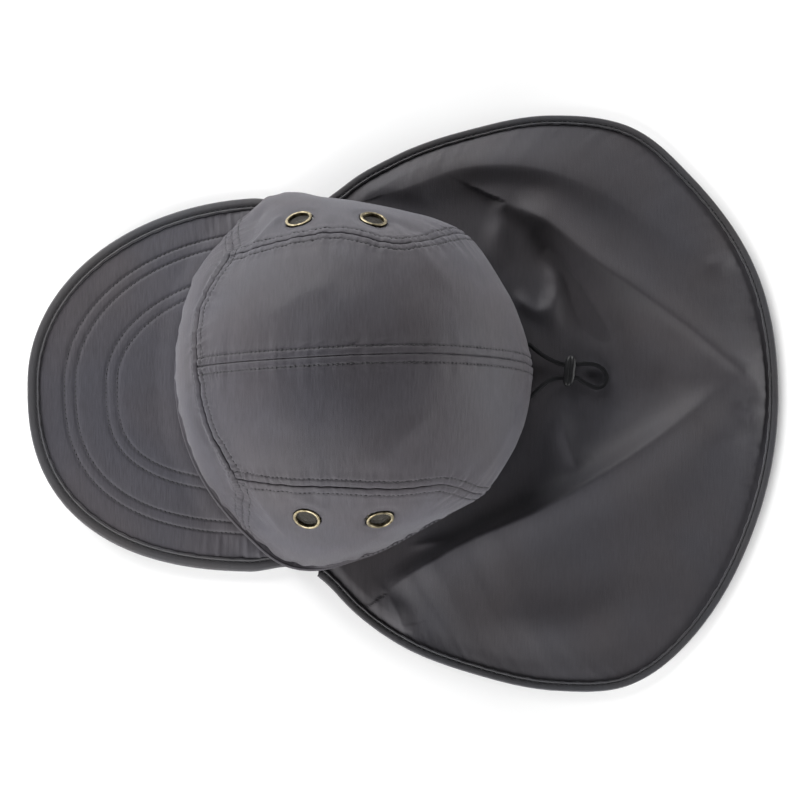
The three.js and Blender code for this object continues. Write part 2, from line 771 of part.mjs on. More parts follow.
const lockEnd = (lockLength - lockHeight) / 2;
const lockShape = new THREE.Shape();
lockShape.absarc(lockEnd, 0, lockHeight / 2, -Math.PI / 2, Math.PI / 2, false);
lockShape.absarc(-lockEnd, 0, lockHeight / 2, Math.PI / 2, 1.5 * Math.PI, false);
const lockBody = new THREE.ExtrudeGeometry(lockShape, {
  depth: lockDepth - 2 * lockBevel,
  bevelSize: lockBevel,
  bevelOffset: -lockBevel,
  bevelThickness: lockBevel,
  bevelSegments: 1,
  curveSegments: 6,
});
lockBody.translate(0, 0, lockBevel - lockDepth / 2);
const lockHoles = [-1, 1].map((side) => {
  const hole = new THREE.CylinderGeometry(lockHoleRadius, lockHoleRadius, 2 * lockDepth, 12);
  return hole.rotateX(Math.PI / 2).translate((side * lockHoleSpacing) / 2, 0, 0);
});
const lock = add(looseOnFlap, "cord_lock", cut(lockBody, lockHoles), plastic);
const lockTurn = new THREE.Matrix4().makeBasis(
  new THREE.Vector3(0, 1, 0),
  new THREE.Vector3(0, 0, 1),
  new THREE.Vector3(1, 0, 0),
);
lock.quaternion.setFromRotationMatrix(lockTurn);
lock.position.copy(lockAt);

// The origin is on the table, under the middle of the cap without its loose cord
const whole = new THREE.Box3().setFromObject(cap);
const middle = whole.getCenter(new THREE.Vector3());
const hikingCap = new THREE.Group();
hikingCap.add(cap, looseOnFlap);
hikingCap.position.set(-middle.x, -middle.y, -whole.min.z);

export default hikingCap;
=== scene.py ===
# A hiking cap with a neck flap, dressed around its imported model. Lengths are metres. Plans and surfaces
# are worked out about the crown's centre, with the peak towards -X and the wearer's right at +Y, and are
# moved to the model's frame when a mesh is made.
import math

import bmesh
import bpy
import numpy as np
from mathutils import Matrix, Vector


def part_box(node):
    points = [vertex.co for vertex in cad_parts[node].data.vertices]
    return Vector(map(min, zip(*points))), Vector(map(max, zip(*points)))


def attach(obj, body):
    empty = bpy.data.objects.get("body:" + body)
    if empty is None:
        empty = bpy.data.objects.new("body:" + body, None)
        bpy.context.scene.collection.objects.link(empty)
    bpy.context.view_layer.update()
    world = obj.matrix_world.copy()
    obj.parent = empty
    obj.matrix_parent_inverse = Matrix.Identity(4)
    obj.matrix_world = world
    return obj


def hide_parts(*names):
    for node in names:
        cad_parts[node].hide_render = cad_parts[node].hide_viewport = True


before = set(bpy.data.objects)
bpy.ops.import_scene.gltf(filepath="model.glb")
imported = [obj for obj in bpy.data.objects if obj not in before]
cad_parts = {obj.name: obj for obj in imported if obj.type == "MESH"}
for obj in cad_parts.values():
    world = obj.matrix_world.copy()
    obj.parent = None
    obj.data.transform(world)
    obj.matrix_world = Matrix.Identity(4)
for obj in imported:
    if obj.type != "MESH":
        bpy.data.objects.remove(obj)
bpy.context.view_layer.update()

MM = 0.001

# Sizes of the crown
CROWN_REACH = 90 * MM
CROWN_HEIGHT = 107 * MM
CROWN_WALL = 1.3 * MM
CROWN_SQUARENESS = 2.15
CROWN_LEAN = 2.4 * MM
HEM_BASE = 4.4 * MM
RIM_BASE = 6.5 * MM

# Sizes of the peak
PEAK_LENGTH = 119.8 * MM
PEAK_HALF_WIDTH = 94 * MM
PEAK_SET_FORWARD = 42.5 * MM
PEAK_THICKNESS = 2.3 * MM
PEAK_ARCH = 11 * MM
PEAK_TUCK = 5 * MM
PEAK_TAIL = 10 * MM
PEAK_FROM = 109
PEAK_TO = 253
PEAK_FULLNESS = {"right": 2.0, "left": 2.5}
PEAK_TAIL_SHARE = 0.04
PEAK_TAPE_HEIGHT = 4.1 * MM
PEAK_ROWS = [18.5 * MM, 24 * MM, 39 * MM, 44.5 * MM]

# Sizes of the flap
FLAP_REACH = 211.5 * MM
FLAP_THICKNESS = 1.2 * MM
FLAP_TUCK = 4 * MM
FLAP_FROM = -101
FLAP_TO = 100
FLAP_SINK = 60 * MM
FLAP_TAPE_HEIGHT = 3.0 * MM
FOLD_START = 14 * MM
CREST_ROUND = 5 * MM
CREST_STOP = 8 * MM

# Sizes of the tape, the seams and the stitches
TAPE_WIDTH = 4.8 * MM
TAPE_THICKNESS = 0.6 * MM
FIT_GAP = 0.3 * MM
SEAM_ROW = 4.1 * MM
SEAM_SLIT = 0.05 * MM
STITCH_PITCH = 2.3 * MM
THREAD_RADIUS = 0.33 * MM

# Sizes of the eyelets, the cord and the toggle
VENT = {"radius": 6.7 * MM, "bore": 5.2 * MM, "flange": 0.8 * MM}
CORD_EYELET = {"radius": 3.2 * MM, "bore": 1.4 * MM, "flange": 0.6 * MM}
EYELET_WALL = 0.4 * MM
CORD_RADIUS = 1.1 * MM
TOGGLE_LENGTH = 15.5 * MM
TOGGLE_HEIGHT = 5.6 * MM
TOGGLE_DEPTH = 6.2 * MM
TOGGLE_HOLE_SPACING = 6.8 * MM

# The crown's centre in the model's frame, from the box of the peak's tape
peak_low, peak_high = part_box("peak_binding")
CENTRE = np.array([
    peak_low[0] + PEAK_SET_FORWARD + PEAK_LENGTH,
    (peak_low[1] + peak_high[1]) / 2,
    0.0,
])

# Camera, at the photograph's angle
CAMERA_ELEVATION = math.radians(84)
CAMERA_DISTANCE = 1.5
CAMERA_TARGET = Vector(CENTRE) + Vector((0.0225, -0.008, 0))
CAMERA_LENS = 135


def add_object(name, data):
    made = bpy.data.objects.new(name, data)
    bpy.context.scene.collection.objects.link(made)
    return made


def aim(piece, target, back, distance):
    """Stands a camera or a light at a distance behind its target, and turns it to face it."""
    piece.location = target + back * distance
    piece.rotation_mode = "QUATERNION"
    piece.rotation_quaternion = (-back).to_track_quat("-Z", "Y")


def add_camera():
    data = bpy.data.cameras.new("camera")
    data.lens = CAMERA_LENS
    data.sensor_width = 36
    camera = add_object("camera", data)
    back = Vector((0, -math.cos(CAMERA_ELEVATION), math.sin(CAMERA_ELEVATION)))
    aim(camera, CAMERA_TARGET, back, CAMERA_DISTANCE)
    bpy.context.scene.camera = camera


add_camera()


# Tables and smooth steps
def mix(a, b, share):
    return a + (b - a) * share


def smooth(start, stop, value):
    share = np.clip((value - start) / (stop - start), 0, 1)
    return share * share * (3 - 2 * share)


def bell(distance, width):
    return np.exp(-((distance / width) ** 2))


def unit(vectors):
    return vectors / np.linalg.norm(vectors, axis=-1, keepdims=True)


def polar(radius, degrees):
    """Points in plan, by their distance and angle from the crown's centre."""
    angle = np.radians(degrees)
    return np.stack([radius * np.cos(angle), radius * np.sin(angle)], axis=-1)


def angle_of(plan):
    """Angle of points in plan, in degrees from +X towards +Y."""
    plan = np.asarray(plan)
    return np.degrees(np.arctan2(plan[..., 1], plan[..., 0]))


def table_curve(rows, closed=False):
    """A smooth curve of reach over angle, through rows of (degrees, reach)."""
    angle, reach = np.array(rows, float).T
    start = angle[0]
    if closed:
        angle = np.concatenate([angle - 360, angle, angle + 360])
        reach = np.tile(reach, 3)
    slope = np.gradient(reach, angle)
    slope[1:-1] = (reach[2:] - reach[:-2]) / (angle[2:] - angle[:-2])

    def read(degrees):
        at = np.asarray(degrees, float)
        if closed:
            at = (at - start) % 360 + start
        i = np.clip(np.searchsorted(angle, at, side="right") - 1, 0, len(angle) - 2)
        step = angle[i + 1] - angle[i]
        t = (at - angle[i]) / step
        t2, t3 = t * t, t * t * t
        return (
            (2 * t3 - 3 * t2 + 1) * reach[i]
            + (t3 - 2 * t2 + t) * slope[i] * step
            + (3 * t2 - 2 * t3) * reach[i + 1]
            + (t3 - t2) * slope[i + 1] * step
        )

    return read


def spline(points):
    """A smooth curve through points, read at shares from 0 to 1."""
    points = np.array(points, float)
    last = len(points) - 1

    def read(share):
        at = np.clip(np.asarray(share, float), 0, 1) * last
        i = np.minimum(np.floor(at).astype(int), last - 1)
        t = (at - i)[..., None]
        before, a = points[np.maximum(i - 1, 0)], points[i]
        b, after = points[i + 1], points[np.minimum(i + 2, last)]
        leave, arrive = (b - before) / 2, (after - a) / 2
        return (
            (2 * a - 2 * b + leave + arrive) * t**3
            + (3 * b - 3 * a - 2 * leave - arrive) * t**2
            + leave * t
            + a
        )

    return read


def lattice_noise(x, y, size, seed):
    """Smooth noise from -1 to 1 with lumps of about the given size."""
    side = 64
    values = np.random.default_rng(seed).uniform(-1, 1, (side, side))
    a, b = x / size, y / size
    i, j = np.floor(a).astype(int), np.floor(b).astype(int)
    s, t = a - i, b - j
    s, t = s * s * (3 - 2 * s), t * t * (3 - 2 * t)
    i0, i1, j0, j1 = i % side, (i + 1) % side, j % side, (j + 1) % side
    low = mix(values[i0, j0], values[i1, j0], s)
    high = mix(values[i0, j1], values[i1, j1], s)
    return mix(low, high, t)


def ripple(arc, wavelength, seed):
    """Uneven waves along a line, from -1 to 1."""
    generator = np.random.default_rng(seed)
    total = 0
    for share in (0.68, 1.0, 1.43):
        total += np.sin(2 * np.pi * arc / (wavelength * share) + generator.uniform(0, 2 * np.pi))
    return total / 3


class Line:
    """A sampled line. near() gives each point's distance from it, and its nearest place along it."""

    def __init__(self, points):
        self.points = np.asarray(points, float)
        steps = np.linalg.norm(np.diff(self.points, axis=0), axis=1)
        self.arc = np.concatenate([[0], np.cumsum(steps)])
        self.length = self.arc[-1]
        self.tangent = unit(np.gradient(self.points, axis=0))

    def near(self, queries, chunk=4000):
        distance = np.empty(len(queries))
        arc = np.empty(len(queries))
        for start in range(0, len(queries), chunk):
            part = queries[start:start + chunk]
            square = ((part[:, None, :] - self.points[None, :, :]) ** 2).sum(axis=2)
            index = square.argmin(axis=1)
            offset = part - self.points[index]
            forward = (offset * self.tangent[index]).sum(axis=1)
            inside = (index > 0) & (index < len(self.points) - 1)
            beside = offset - np.where(inside, forward, 0)[:, None] * self.tangent[index]
            distance[start:start + chunk] = np.linalg.norm(beside, axis=1)
            arc[start:start + chunk] = self.arc[index] + np.where(inside, forward, 0)
        return distance, arc

    def at(self, arcs):
        return np.stack([np.interp(arcs, self.arc, column) for column in self.points.T], axis=1)


# Cord's centreline about the crown's centre: out of the right eyelet, through the toggle, round the loop,
# back through the toggle and in at the left eyelet
CORD_ROUTE = [
    (0.0802, 0.0180, 0.0105), (0.0824, 0.01845, 0.0105), (0.0848, 0.0189, 0.0104),
    (0.0870, 0.0185, 0.0102), (0.0893, 0.0167, 0.0097), (0.0920, 0.0146, 0.0090),
    (0.0955, 0.0124, 0.0082), (0.0995, 0.0105, 0.0074), (0.1034, 0.0092, 0.0068),
    (0.1070, 0.0092, 0.0067), (0.1106, 0.0092, 0.0066), (0.1155, 0.0096, 0.0059),
    (0.1205, 0.0089, 0.0050), (0.1242, 0.0064, 0.0044), (0.1256, 0.0028, 0.0043),
    (0.1242, -0.0008, 0.0044), (0.1204, -0.0023, 0.0049), (0.1153, -0.0004, 0.0058),
    (0.1106, 0.0024, 0.0066), (0.1070, 0.0024, 0.0067), (0.1034, 0.0024, 0.0068),
    (0.0986, 0.0018, 0.0075), (0.0942, -0.0009, 0.0085), (0.0906, -0.0044, 0.0095),
    (0.0880, -0.0069, 0.0102), (0.0856, -0.00748, 0.01035), (0.0832, -0.0072, 0.0104),
    (0.0813, -0.0070, 0.01045),
]
TOGGLE_AT = np.array([0.1070, 0.0058, 0.0067])

# Rim seen from above, as (degrees, share of CROWN_REACH)
RIM_TABLE = [
    (-160, 1.0), (-140, 1.02), (-125, 1.05), (-112, 1.094), (-102, 1.074), (-88, 0.983), (-65, 0.895),
    (-40, 0.922), (-15, 0.948), (10, 0.953), (40, 0.965), (65, 0.955), (85, 0.976), (99, 1.036),
    (108, 1.115), (116, 1.14), (125, 1.1), (142, 1.06), (162, 1.015), (180, 0.995),
]

# Flap's outline seen from above, as (degrees, share of FLAP_REACH)
FLAP_TABLE = [
    (-110, 0.43), (-98, 0.477), (-90, 0.54), (-80, 0.627), (-68, 0.736), (-57, 0.861), (-48, 0.956),
    (-38, 0.991), (-20, 1.0), (0, 1.0), (16, 0.989), (32, 0.941), (43, 0.901), (54, 0.796), (66, 0.667),
    (80, 0.556), (90, 0.494), (96, 0.46), (108, 0.41),
]

# Seams on the crown laid out as a disc, as (along, across): the rim is the circle of radius 1, and the
# back is at along 1
FRONT_SEAM = [
    (-0.588, 0.809), (-0.55, 0.62), (-0.515, 0.465), (-0.62, 0.225), (-0.602, -0.01), (-0.565, -0.23),
    (-0.46, -0.446), (-0.51, -0.62), (-0.582, -0.813),
]
RIGHT_SEAM = [
    (-0.515, 0.465), (-0.3, 0.45), (-0.06, 0.458), (0.13, 0.425), (0.3, 0.48), (0.46, 0.6), (0.643, 0.766),
]
LEFT_SEAM = [
    (-0.46, -0.446), (-0.26, -0.446), (-0.05, -0.45), (0.17, -0.466), (0.36, -0.462), (0.56, -0.545),
    (0.788, -0.616),
]
CENTRE_SEAM = [(-0.602, -0.01), (-0.2, -0.01), (0.35, 0.012), (0.999, 0.045)]

# Soft hollows and swells of the crown, as (along, across, size on the disc, depth as a share of
# CROWN_REACH)
CROWN_DENTS = [
    (0.2, 0.5, 0.13, -0.04),
    (-0.5, 0.5, 0.15, -0.03),
    (-0.5, -0.55, 0.14, -0.03),
    (0.1, -0.2, 0.3, -0.012),
    (0.75, 0.0, 0.35, 0.04),
    (0.45, 0.65, 0.28, 0.035),
    (0.6, -0.5, 0.3, 0.035),
]

# Creases of the crown, on curves through points of the disc. height is negative for a valley, and is in
# millimetres like width
CROWN_CREASES = [
    {"line": [(-0.53, 0.74), (-0.566, 0.62), (-0.532, 0.475), (-0.637, 0.225), (-0.618, -0.01),
              (-0.581, -0.23), (-0.479, -0.43), (-0.527, -0.6), (-0.572, -0.74)],
     "height": 0.9, "width": 1.5},
    {"line": [(-0.62, -0.15), (-0.612, -0.25), (-0.56, -0.36), (-0.54, -0.46), (-0.57, -0.6)],
     "height": -1.1, "width": 2.2},
    {"line": [(-0.6, 0.62), (-0.575, 0.47), (-0.625, 0.366), (-0.665, 0.26)], "height": -1.0, "width": 2.2},
    {"line": [(-0.437, -0.43), (-0.388, -0.473), (-0.35, -0.556), (-0.311, -0.617), (-0.27, -0.7)],
     "height": 1.2, "width": 3.4},
    {"line": [(-0.47, -0.5), (-0.45, -0.596), (-0.4, -0.7)], "height": -1.7, "width": 7},
    {"line": [(-0.236, -0.485), (-0.176, -0.508), (-0.095, -0.553)], "height": 0.9, "width": 3.2},
    {"line": [(-0.4, 0.46), (-0.379, 0.487), (-0.346, 0.532), (-0.305, 0.586), (-0.27, 0.62)],
     "height": 1.2, "width": 3.2},
    {"line": [(-0.43, 0.5), (-0.436, 0.569), (-0.428, 0.659), (-0.37, 0.74)], "height": -2.2, "width": 7},
    {"line": [(0.05, -0.4), (0.163, -0.29), (0.29, -0.17)], "height": 0.9, "width": 6},
    {"line": [(0.48, -0.47), (0.595, -0.324), (0.67, -0.14)], "height": 0.9, "width": 5},
    {"line": [(0.12, 0.54), (0.266, 0.379), (0.38, 0.2)], "height": 1.0, "width": 8},
    {"line": [(0.06, 0.48), (0.157, 0.594), (0.28, 0.49)], "height": -0.9, "width": 3.2},
    {"line": [(-0.3, 0.12), (-0.167, 0.197), (-0.04, 0.23)], "height": 0.7, "width": 7},
]

# Folds of the flap, on a curve through points of (degrees, out, height, near), where out is 0 at the rim
# and 1 at the edge, and near is the width of the slope towards the crown. A crease has two widths for its
# whole line, far being the one away from the crown. Heights and widths are in millimetres. sharp is 2 for
# a round form and 1 for a crease.
FOLD_TABLE = [
    {"line": [(50, 0.35, 5, 5), (40, 0.36, 8, 6), (27, 0.41, 10, 7), (18, 0.51, 11, 12),
              (9, 0.67, 11, 20), (2, 0.84, 10, 28), (-1, 0.94, 7, 30)],
     "sharp": 1.8},
    {"line": [(81, 0.32, 4, 6), (72, 0.45, 7, 8), (65, 0.57, 9, 9), (58, 0.59, 10, 9), (49, 0.6, 10, 10),
              (39, 0.63, 9, 14), (29, 0.7, 8, 18), (19, 0.81, 5, 20)],
     "sharp": 1.6},
    {"line": [(-81, 0.44, 3, 5), (-74, 0.28, 6, 4), (-66, 0.21, 8, 4), (-57, 0.16, 9, 4),
              (-46, 0.16, 11, 4.5), (-37, 0.21, 12, 6), (-28, 0.28, 12, 8), (-19, 0.39, 12, 11),
              (-12, 0.51, 12, 14), (-5, 0.66, 10, 17), (0, 0.8, 6, 18)],
     "sharp": 1.4},
]
CREASE_TABLE = [
    {"line": [(50, 0.36, 0), (40, 0.36, 3), (27, 0.41, 3), (18, 0.51, 2.8), (9, 0.67, 2.8),
              (2, 0.84, 2.8), (-1, 0.95, 1.4)],
     "near": 4, "far": 7, "sharp": 1.6},
    {"line": [(-81, 0.43, 0), (-66, 0.2, 3.6), (-45, 0.16, 4.6), (-28, 0.28, 4.6), (-12, 0.51, 4.4),
              (0, 0.8, 1)],
     "near": 5.5, "far": 12, "sharp": 1.8},
    {"line": [(50, 0.34, 0), (46, 0.16, 2.4), (36, 0.03, 0.3)], "near": 6, "far": 6, "sharp": 1.8},
    {"line": [(35, 0.26, 0), (27, 0.23, 3.2), (19, 0.16, 3), (10, 0.13, 0.4)],
     "near": 5, "far": 5, "sharp": 1.6},
    {"line": [(23, 0.18, 1.2), (21, 0.11, 2.4), (25, 0.06, 2.2), (31, 0.02, 0)],
     "near": 5, "far": 4.5, "sharp": 1.7},
    {"line": [(42, 0.3, 0), (30, 0.29, -4.5), (15, 0.3, -4.5), (2, 0.38, 0)],
     "near": 7, "far": 5, "sharp": 1.6},
    {"line": [(-6, 0.14, 0), (-14, 0.18, 4), (-19, 0.23, 4), (-23, 0.29, 0)],
     "near": 3.5, "far": 7, "sharp": 1.3},
    {"line": [(-82, 0.43, 0), (-79, 0.67, 3), (-79, 0.95, 0)], "near": 4, "far": 5, "sharp": 1.4},
    {"line": [(-75, 0.02, 0), (-64, 0.1, 2), (-56, 0.11, 0)], "near": 3, "far": 3.5, "sharp": 1.4},
    {"line": [(-73, 0.68, 0), (-52, 0.64, 2.6), (-44, 0.68, 2.6), (-33, 0.74, 0)],
     "near": 12, "far": 14, "sharp": 2},
    {"line": [(5, 0.76, 0), (3, 0.86, 2), (2, 0.95, 0.8)], "near": 4, "far": 6, "sharp": 1.4},
    {"line": [(19, 0.79, 0), (18, 0.87, 2), (17, 0.93, 0.8)], "near": 5, "far": 6, "sharp": 1.4},
    {"line": [(-11, 0.72, 0), (-8, 0.84, 2.2), (-7, 0.94, 0.8)], "near": 5, "far": 7, "sharp": 1.4},
    {"line": [(-4, 0.79, 0), (-4, 0.87, 2), (-4, 0.95, 0.8)], "near": 3, "far": 4, "sharp": 1.4},
]

# The flap has no folds nearer to the cord than the first distance, and its full folds past the second
CORD_CLEAR = (4 * MM, 22 * MM)

# Eyelets on the disc, as (along, across)
VENTS_AT = {
    "right_front": (-0.212, 0.574),
    "right_rear": (0.08, 0.578),
    "left_front": (-0.179, -0.598),
    "left_rear": (0.11, -0.62),
}
CORD_EYELETS_AT = {"right": (0.957, 0.213), "left": (0.977, -0.086)}

rim_share = table_curve(RIM_TABLE, closed=True)
flap_share = table_curve(FLAP_TABLE)


def rim_radius(degrees):
    return CROWN_REACH * rim_share(degrees)


def flap_radius(degrees):
    return FLAP_REACH * flap_share(degrees)


def rim_plan(degrees, tuck=0.0):
    return polar(rim_radius(degrees) - tuck, degrees)


def arch_at(x, y):
    """How far the arch of the peak lifts what lies at x, y."""
    share = np.clip(1 - (y / PEAK_HALF_WIDTH) ** 2, 0, 1)
    return PEAK_ARCH * share * smooth(0.3 * CROWN_REACH, 0.6 * CROWN_REACH, -x)


# Meshes
def shown(points):
    """Points about the crown's centre, in the model's frame."""
    return np.asarray(points) + CENTRE


def make_object(name, points, faces, material, uvs=None):
    mesh = bpy.data.meshes.new(name)
    mesh.from_pydata(shown(points).tolist(), [], faces.tolist() if hasattr(faces, "tolist") else faces)
    mesh.polygons.foreach_set("use_smooth", [True] * len(mesh.polygons))
    if uvs is not None:
        corner = np.empty(len(mesh.loops), int)
        mesh.loops.foreach_get("vertex_index", corner)
        layer = mesh.uv_layers.new(name="weave")
        layer.data.foreach_set("uv", np.asarray(uvs)[corner].ravel())
    mesh.materials.append(material)
    mesh.update()
    return add_object(name, mesh)


def place(piece, slot, *nodes):
    """Makes a piece ride on the cap in place of its nodes. slot is not used."""
    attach(piece, "root")
    if nodes:
        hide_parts(*nodes)
    return piece


def apply_modifiers(piece):
    bpy.context.view_layer.update()
    depsgraph = bpy.context.evaluated_depsgraph_get()
    piece.data = bpy.data.meshes.new_from_object(piece.evaluated_get(depsgraph))
    piece.modifiers.clear()


def make_sheet(name, grid, upwards, uvs, material, thickness, holes=()):
    """A grid of points as a sheet that faces upwards. A hole is (each point's distance from it, radius)."""
    columns, rows = grid.shape[0] - 1, grid.shape[1] - 1
    i, j = np.meshgrid(np.arange(columns), np.arange(rows), indexing="ij")
    here = i * (rows + 1) + j
    beyond = here + rows + 1
    faces = np.stack([here, beyond, beyond + 1, here + 1], axis=2).reshape(-1, 4)
    slope = np.cross(np.gradient(grid, axis=0), np.gradient(grid, axis=1)).reshape(-1, 3)
    if (slope * upwards).sum() < 0:
        faces = faces[:, ::-1]
    for away, radius in holes:
        faces = faces[(away[faces] > radius).all(axis=1)]
    piece = make_object(name, grid.reshape(-1, 3), faces, material, uvs)
    solidify = piece.modifiers.new("thickness", "SOLIDIFY")
    solidify.thickness = thickness
    solidify.offset = -1
    apply_modifiers(piece)
    return piece


def sweep_faces(steps, size, closed):
    rings = steps if closed else steps + 1
    faces = []
    for i in range(steps):
        here, after = i * size, ((i + 1) % rings) * size
        for j in range(size):
            k = (j + 1) % size
            faces.append((here + j, here + k, after + k, after + j))
    if not closed:
        faces.append(tuple(range(size - 1, -1, -1)))
        faces.append(tuple((rings - 1) * size + j for j in range(size)))
    return faces


def joined(parts):
    """Points and faces of one mesh, from several pairs of points and faces."""
    points, faces, made = [], [], 0
    for part_points, part_faces in parts:
        points.append(part_points)
        faces += [[made + index for index in face] for face in part_faces]
        made += len(part_points)
    return np.concatenate(points), faces


def outward(piece):
    """Turns a closed mesh's faces outwards."""
    body = bmesh.new()
    body.from_mesh(piece.data)
    bmesh.ops.recalc_face_normals(body, faces=body.faces)
    body.to_mesh(piece.data)
    body.free()
    return piece


def swept(name, rings, arcs, section, closed, material):
    """A section swept along a line, from one row of points along the line for each corner of the section."""
    skin = np.stack(rings, axis=1).reshape(-1, 3)
    over = np.cumsum(np.linalg.norm(np.diff(section, axis=0, prepend=section[:1]), axis=1))
    uvs = np.stack(np.meshgrid(arcs, over, indexing="ij"), axis=2).reshape(-1, 2)
    steps = len(arcs) if closed else len(arcs) - 1
    return outward(make_object(name, skin, sweep_faces(steps, len(section), closed), material, uvs))


# Materials
def new_material(name):
    material = bpy.data.materials.new(name)
    material.use_nodes = True
    tree = material.node_tree
    return material, tree, tree.nodes["Principled BSDF"]


def node(tree, kind, **settings):
    made = tree.nodes.new(kind)
    for key, value in settings.items():
        if key in made.inputs:
            made.inputs[key].default_value = value
        else:
            setattr(made, key, value)
    return made


def ramp(tree, source, low, high, start=0.3, stop=0.7):
    """Maps a texture's value from start..stop to low..high."""
    mapped = node(tree, "ShaderNodeMapRange")
    mapped.inputs["From Min"].default_value = start
    mapped.inputs["From Max"].default_value = stop
    mapped.inputs["To Min"].default_value = low
    mapped.inputs["To Max"].default_value = high
    tree.links.new(source, mapped.inputs["Value"])
    return mapped.outputs["Result"]


def maths(tree, operation, a, b):
    made = node(tree, "ShaderNodeMath", operation=operation)
    for socket, value in zip(made.inputs, (a, b)):
        if isinstance(value, (int, float)):
            socket.default_value = value
        else:
            tree.links.new(value, socket)
    return made.outputs[0]


def paint(tree, shader, colour, texture, low, high):
    """Base colour, from low to high times the given colour by a texture."""
    tree.links.new(tinted(tree, colour, ramp(tree, texture, low, high)), shader.inputs["Base Color"])


def tinted(tree, colour, brightness):
    """A colour whose brightness is worked out by nodes."""
    scaled = node(tree, "ShaderNodeVectorMath", operation="SCALE")
    scaled.inputs[0].default_value = colour
    tree.links.new(brightness, scaled.inputs["Scale"])
    return scaled.outputs["Vector"]


def stretched(tree, coordinates, scale):
    mapping = node(tree, "ShaderNodeMapping")
    mapping.inputs["Scale"].default_value = scale
    tree.links.new(coordinates, mapping.inputs["Vector"])
    return mapping.outputs["Vector"]


def noise(tree, vector, scale, detail=2.0):
    texture = node(tree, "ShaderNodeTexNoise", Scale=scale, Detail=detail)
    tree.links.new(vector, texture.inputs["Vector"])
    return texture.outputs["Fac"]


def object_space(tree):
    return node(tree, "ShaderNodeTexCoord").outputs["Object"]


def blend(tree, shader, share, a, b):
    """Base colour between two colours, each a fixed colour or a node's output."""
    mixed = node(tree, "ShaderNodeMix", data_type="RGBA")
    tree.links.new(share, mixed.inputs["Factor"])
    for socket, colour in (("A", a), ("B", b)):
        if isinstance(colour, tuple):
            mixed.inputs[socket].default_value = colour
        else:
            tree.links.new(colour, mixed.inputs[socket])
    tree.links.new(mixed.outputs["Result"], shader.inputs["Base Color"])


def add_bump(tree, shader, height, strength, distance):
    bump = node(tree, "ShaderNodeBump", Strength=strength, Distance=distance)
    tree.links.new(height, bump.inputs["Height"])
    tree.links.new(bump.outputs["Normal"], shader.inputs["Normal"])


def cloth_material(name, colour, weave_pitch=0.42 * MM, streak=1.0, sheen=0.14, roughness=0.62):
    """Woven nylon: a fine weave, slubs along one thread, soft blotches, uneven dye and a faint sheen."""
    material, tree, shader = new_material(name)
    uv = node(tree, "ShaderNodeUVMap", uv_map="weave").outputs["UV"]
    spot = object_space(tree)
    wave_scale = 2 * math.pi / 20 / weave_pitch
    heights = []
    for direction in ("X", "Y"):
        wave = node(tree, "ShaderNodeTexWave", Scale=wave_scale, Distortion=0.6, bands_direction=direction)
        wave.inputs["Detail Scale"].default_value = 0.4
        tree.links.new(uv, wave.inputs["Vector"])
        heights.append(wave.outputs["Fac"])
    weave = maths(tree, "MULTIPLY", heights[0], heights[1])
    slubs = noise(tree, stretched(tree, spot, (1.0, 0.13, 0.13)), 1150, 3.0)
    fuzz = noise(tree, spot, 2200, 2.0)
    blotches = noise(tree, spot, 26, 3.0)
    dye = noise(tree, spot, 17, 2.0)
    height = maths(tree, "MULTIPLY", weave, 0.45)
    height = maths(tree, "ADD", height, maths(tree, "MULTIPLY", slubs, 1.3 * streak))
    height = maths(tree, "ADD", height, maths(tree, "MULTIPLY", fuzz, 0.4))
    add_bump(tree, shader, height, 0.6, 0.16 * MM)
    grain = ramp(tree, slubs, 1 - 0.14 * streak, 1 + 0.14 * streak)
    light = maths(tree, "MULTIPLY", ramp(tree, blotches, 0.92, 1.08), grain)
    light = maths(tree, "MULTIPLY", light, ramp(tree, fuzz, 0.93, 1.07))
    light = maths(tree, "MULTIPLY", light, ramp(tree, weave, 0.94, 1.04, 0.0, 1.0))
    warm = [channel * share for channel, share in zip(colour, (1.045, 1.0, 0.96))]
    cool = [channel * share for channel, share in zip(colour, (0.96, 1.0, 1.045))]
    share = ramp(tree, dye, 0.0, 1.0, 0.35, 0.65)
    blend(tree, shader, share, tinted(tree, warm, light), tinted(tree, cool, light))
    tree.links.new(ramp(tree, fuzz, roughness - 0.05, roughness + 0.07), shader.inputs["Roughness"])
    shader.inputs["Specular IOR Level"].default_value = 0.3
    shader.inputs["Sheen Weight"].default_value = sheen
    shader.inputs["Sheen Roughness"].default_value = 0.45
    shader.inputs["Sheen Tint"].default_value = (0.9, 0.9, 0.95, 1)
    return material


def grainy_material(name, colour, scale, shade, roughness, specular=0.5, detail=2.0, bump=None):
    """A plain material with a grain. shade is its range of brightness, and bump is (strength, distance)."""
    material, tree, shader = new_material(name)
    grain = noise(tree, object_space(tree), scale, detail)
    paint(tree, shader, colour, grain, *shade)
    if bump:
        add_bump(tree, shader, grain, *bump)
    shader.inputs["Roughness"].default_value = roughness
    shader.inputs["Specular IOR Level"].default_value = specular
    return material


def brass_material():
    """Antique brass: pale and brown in uneven patches, with fine scratches."""
    material, tree, shader = new_material("antique_brass")
    spot = object_space(tree)
    patina = noise(tree, spot, 420, 4.0)
    scratches = noise(tree, stretched(tree, spot, (1.0, 0.15, 1.0)), 5200, 2.0)
    share = ramp(tree, patina, 0.0, 1.0, 0.35, 0.6)
    blend(tree, shader, share, (0.075, 0.062, 0.035, 1), (0.26, 0.225, 0.15, 1))
    tree.links.new(ramp(tree, scratches, 0.36, 0.52), shader.inputs["Roughness"])
    add_bump(tree, shader, scratches, 0.25, 0.04 * MM)
    shader.inputs["Metallic"].default_value = 1.0
    return material


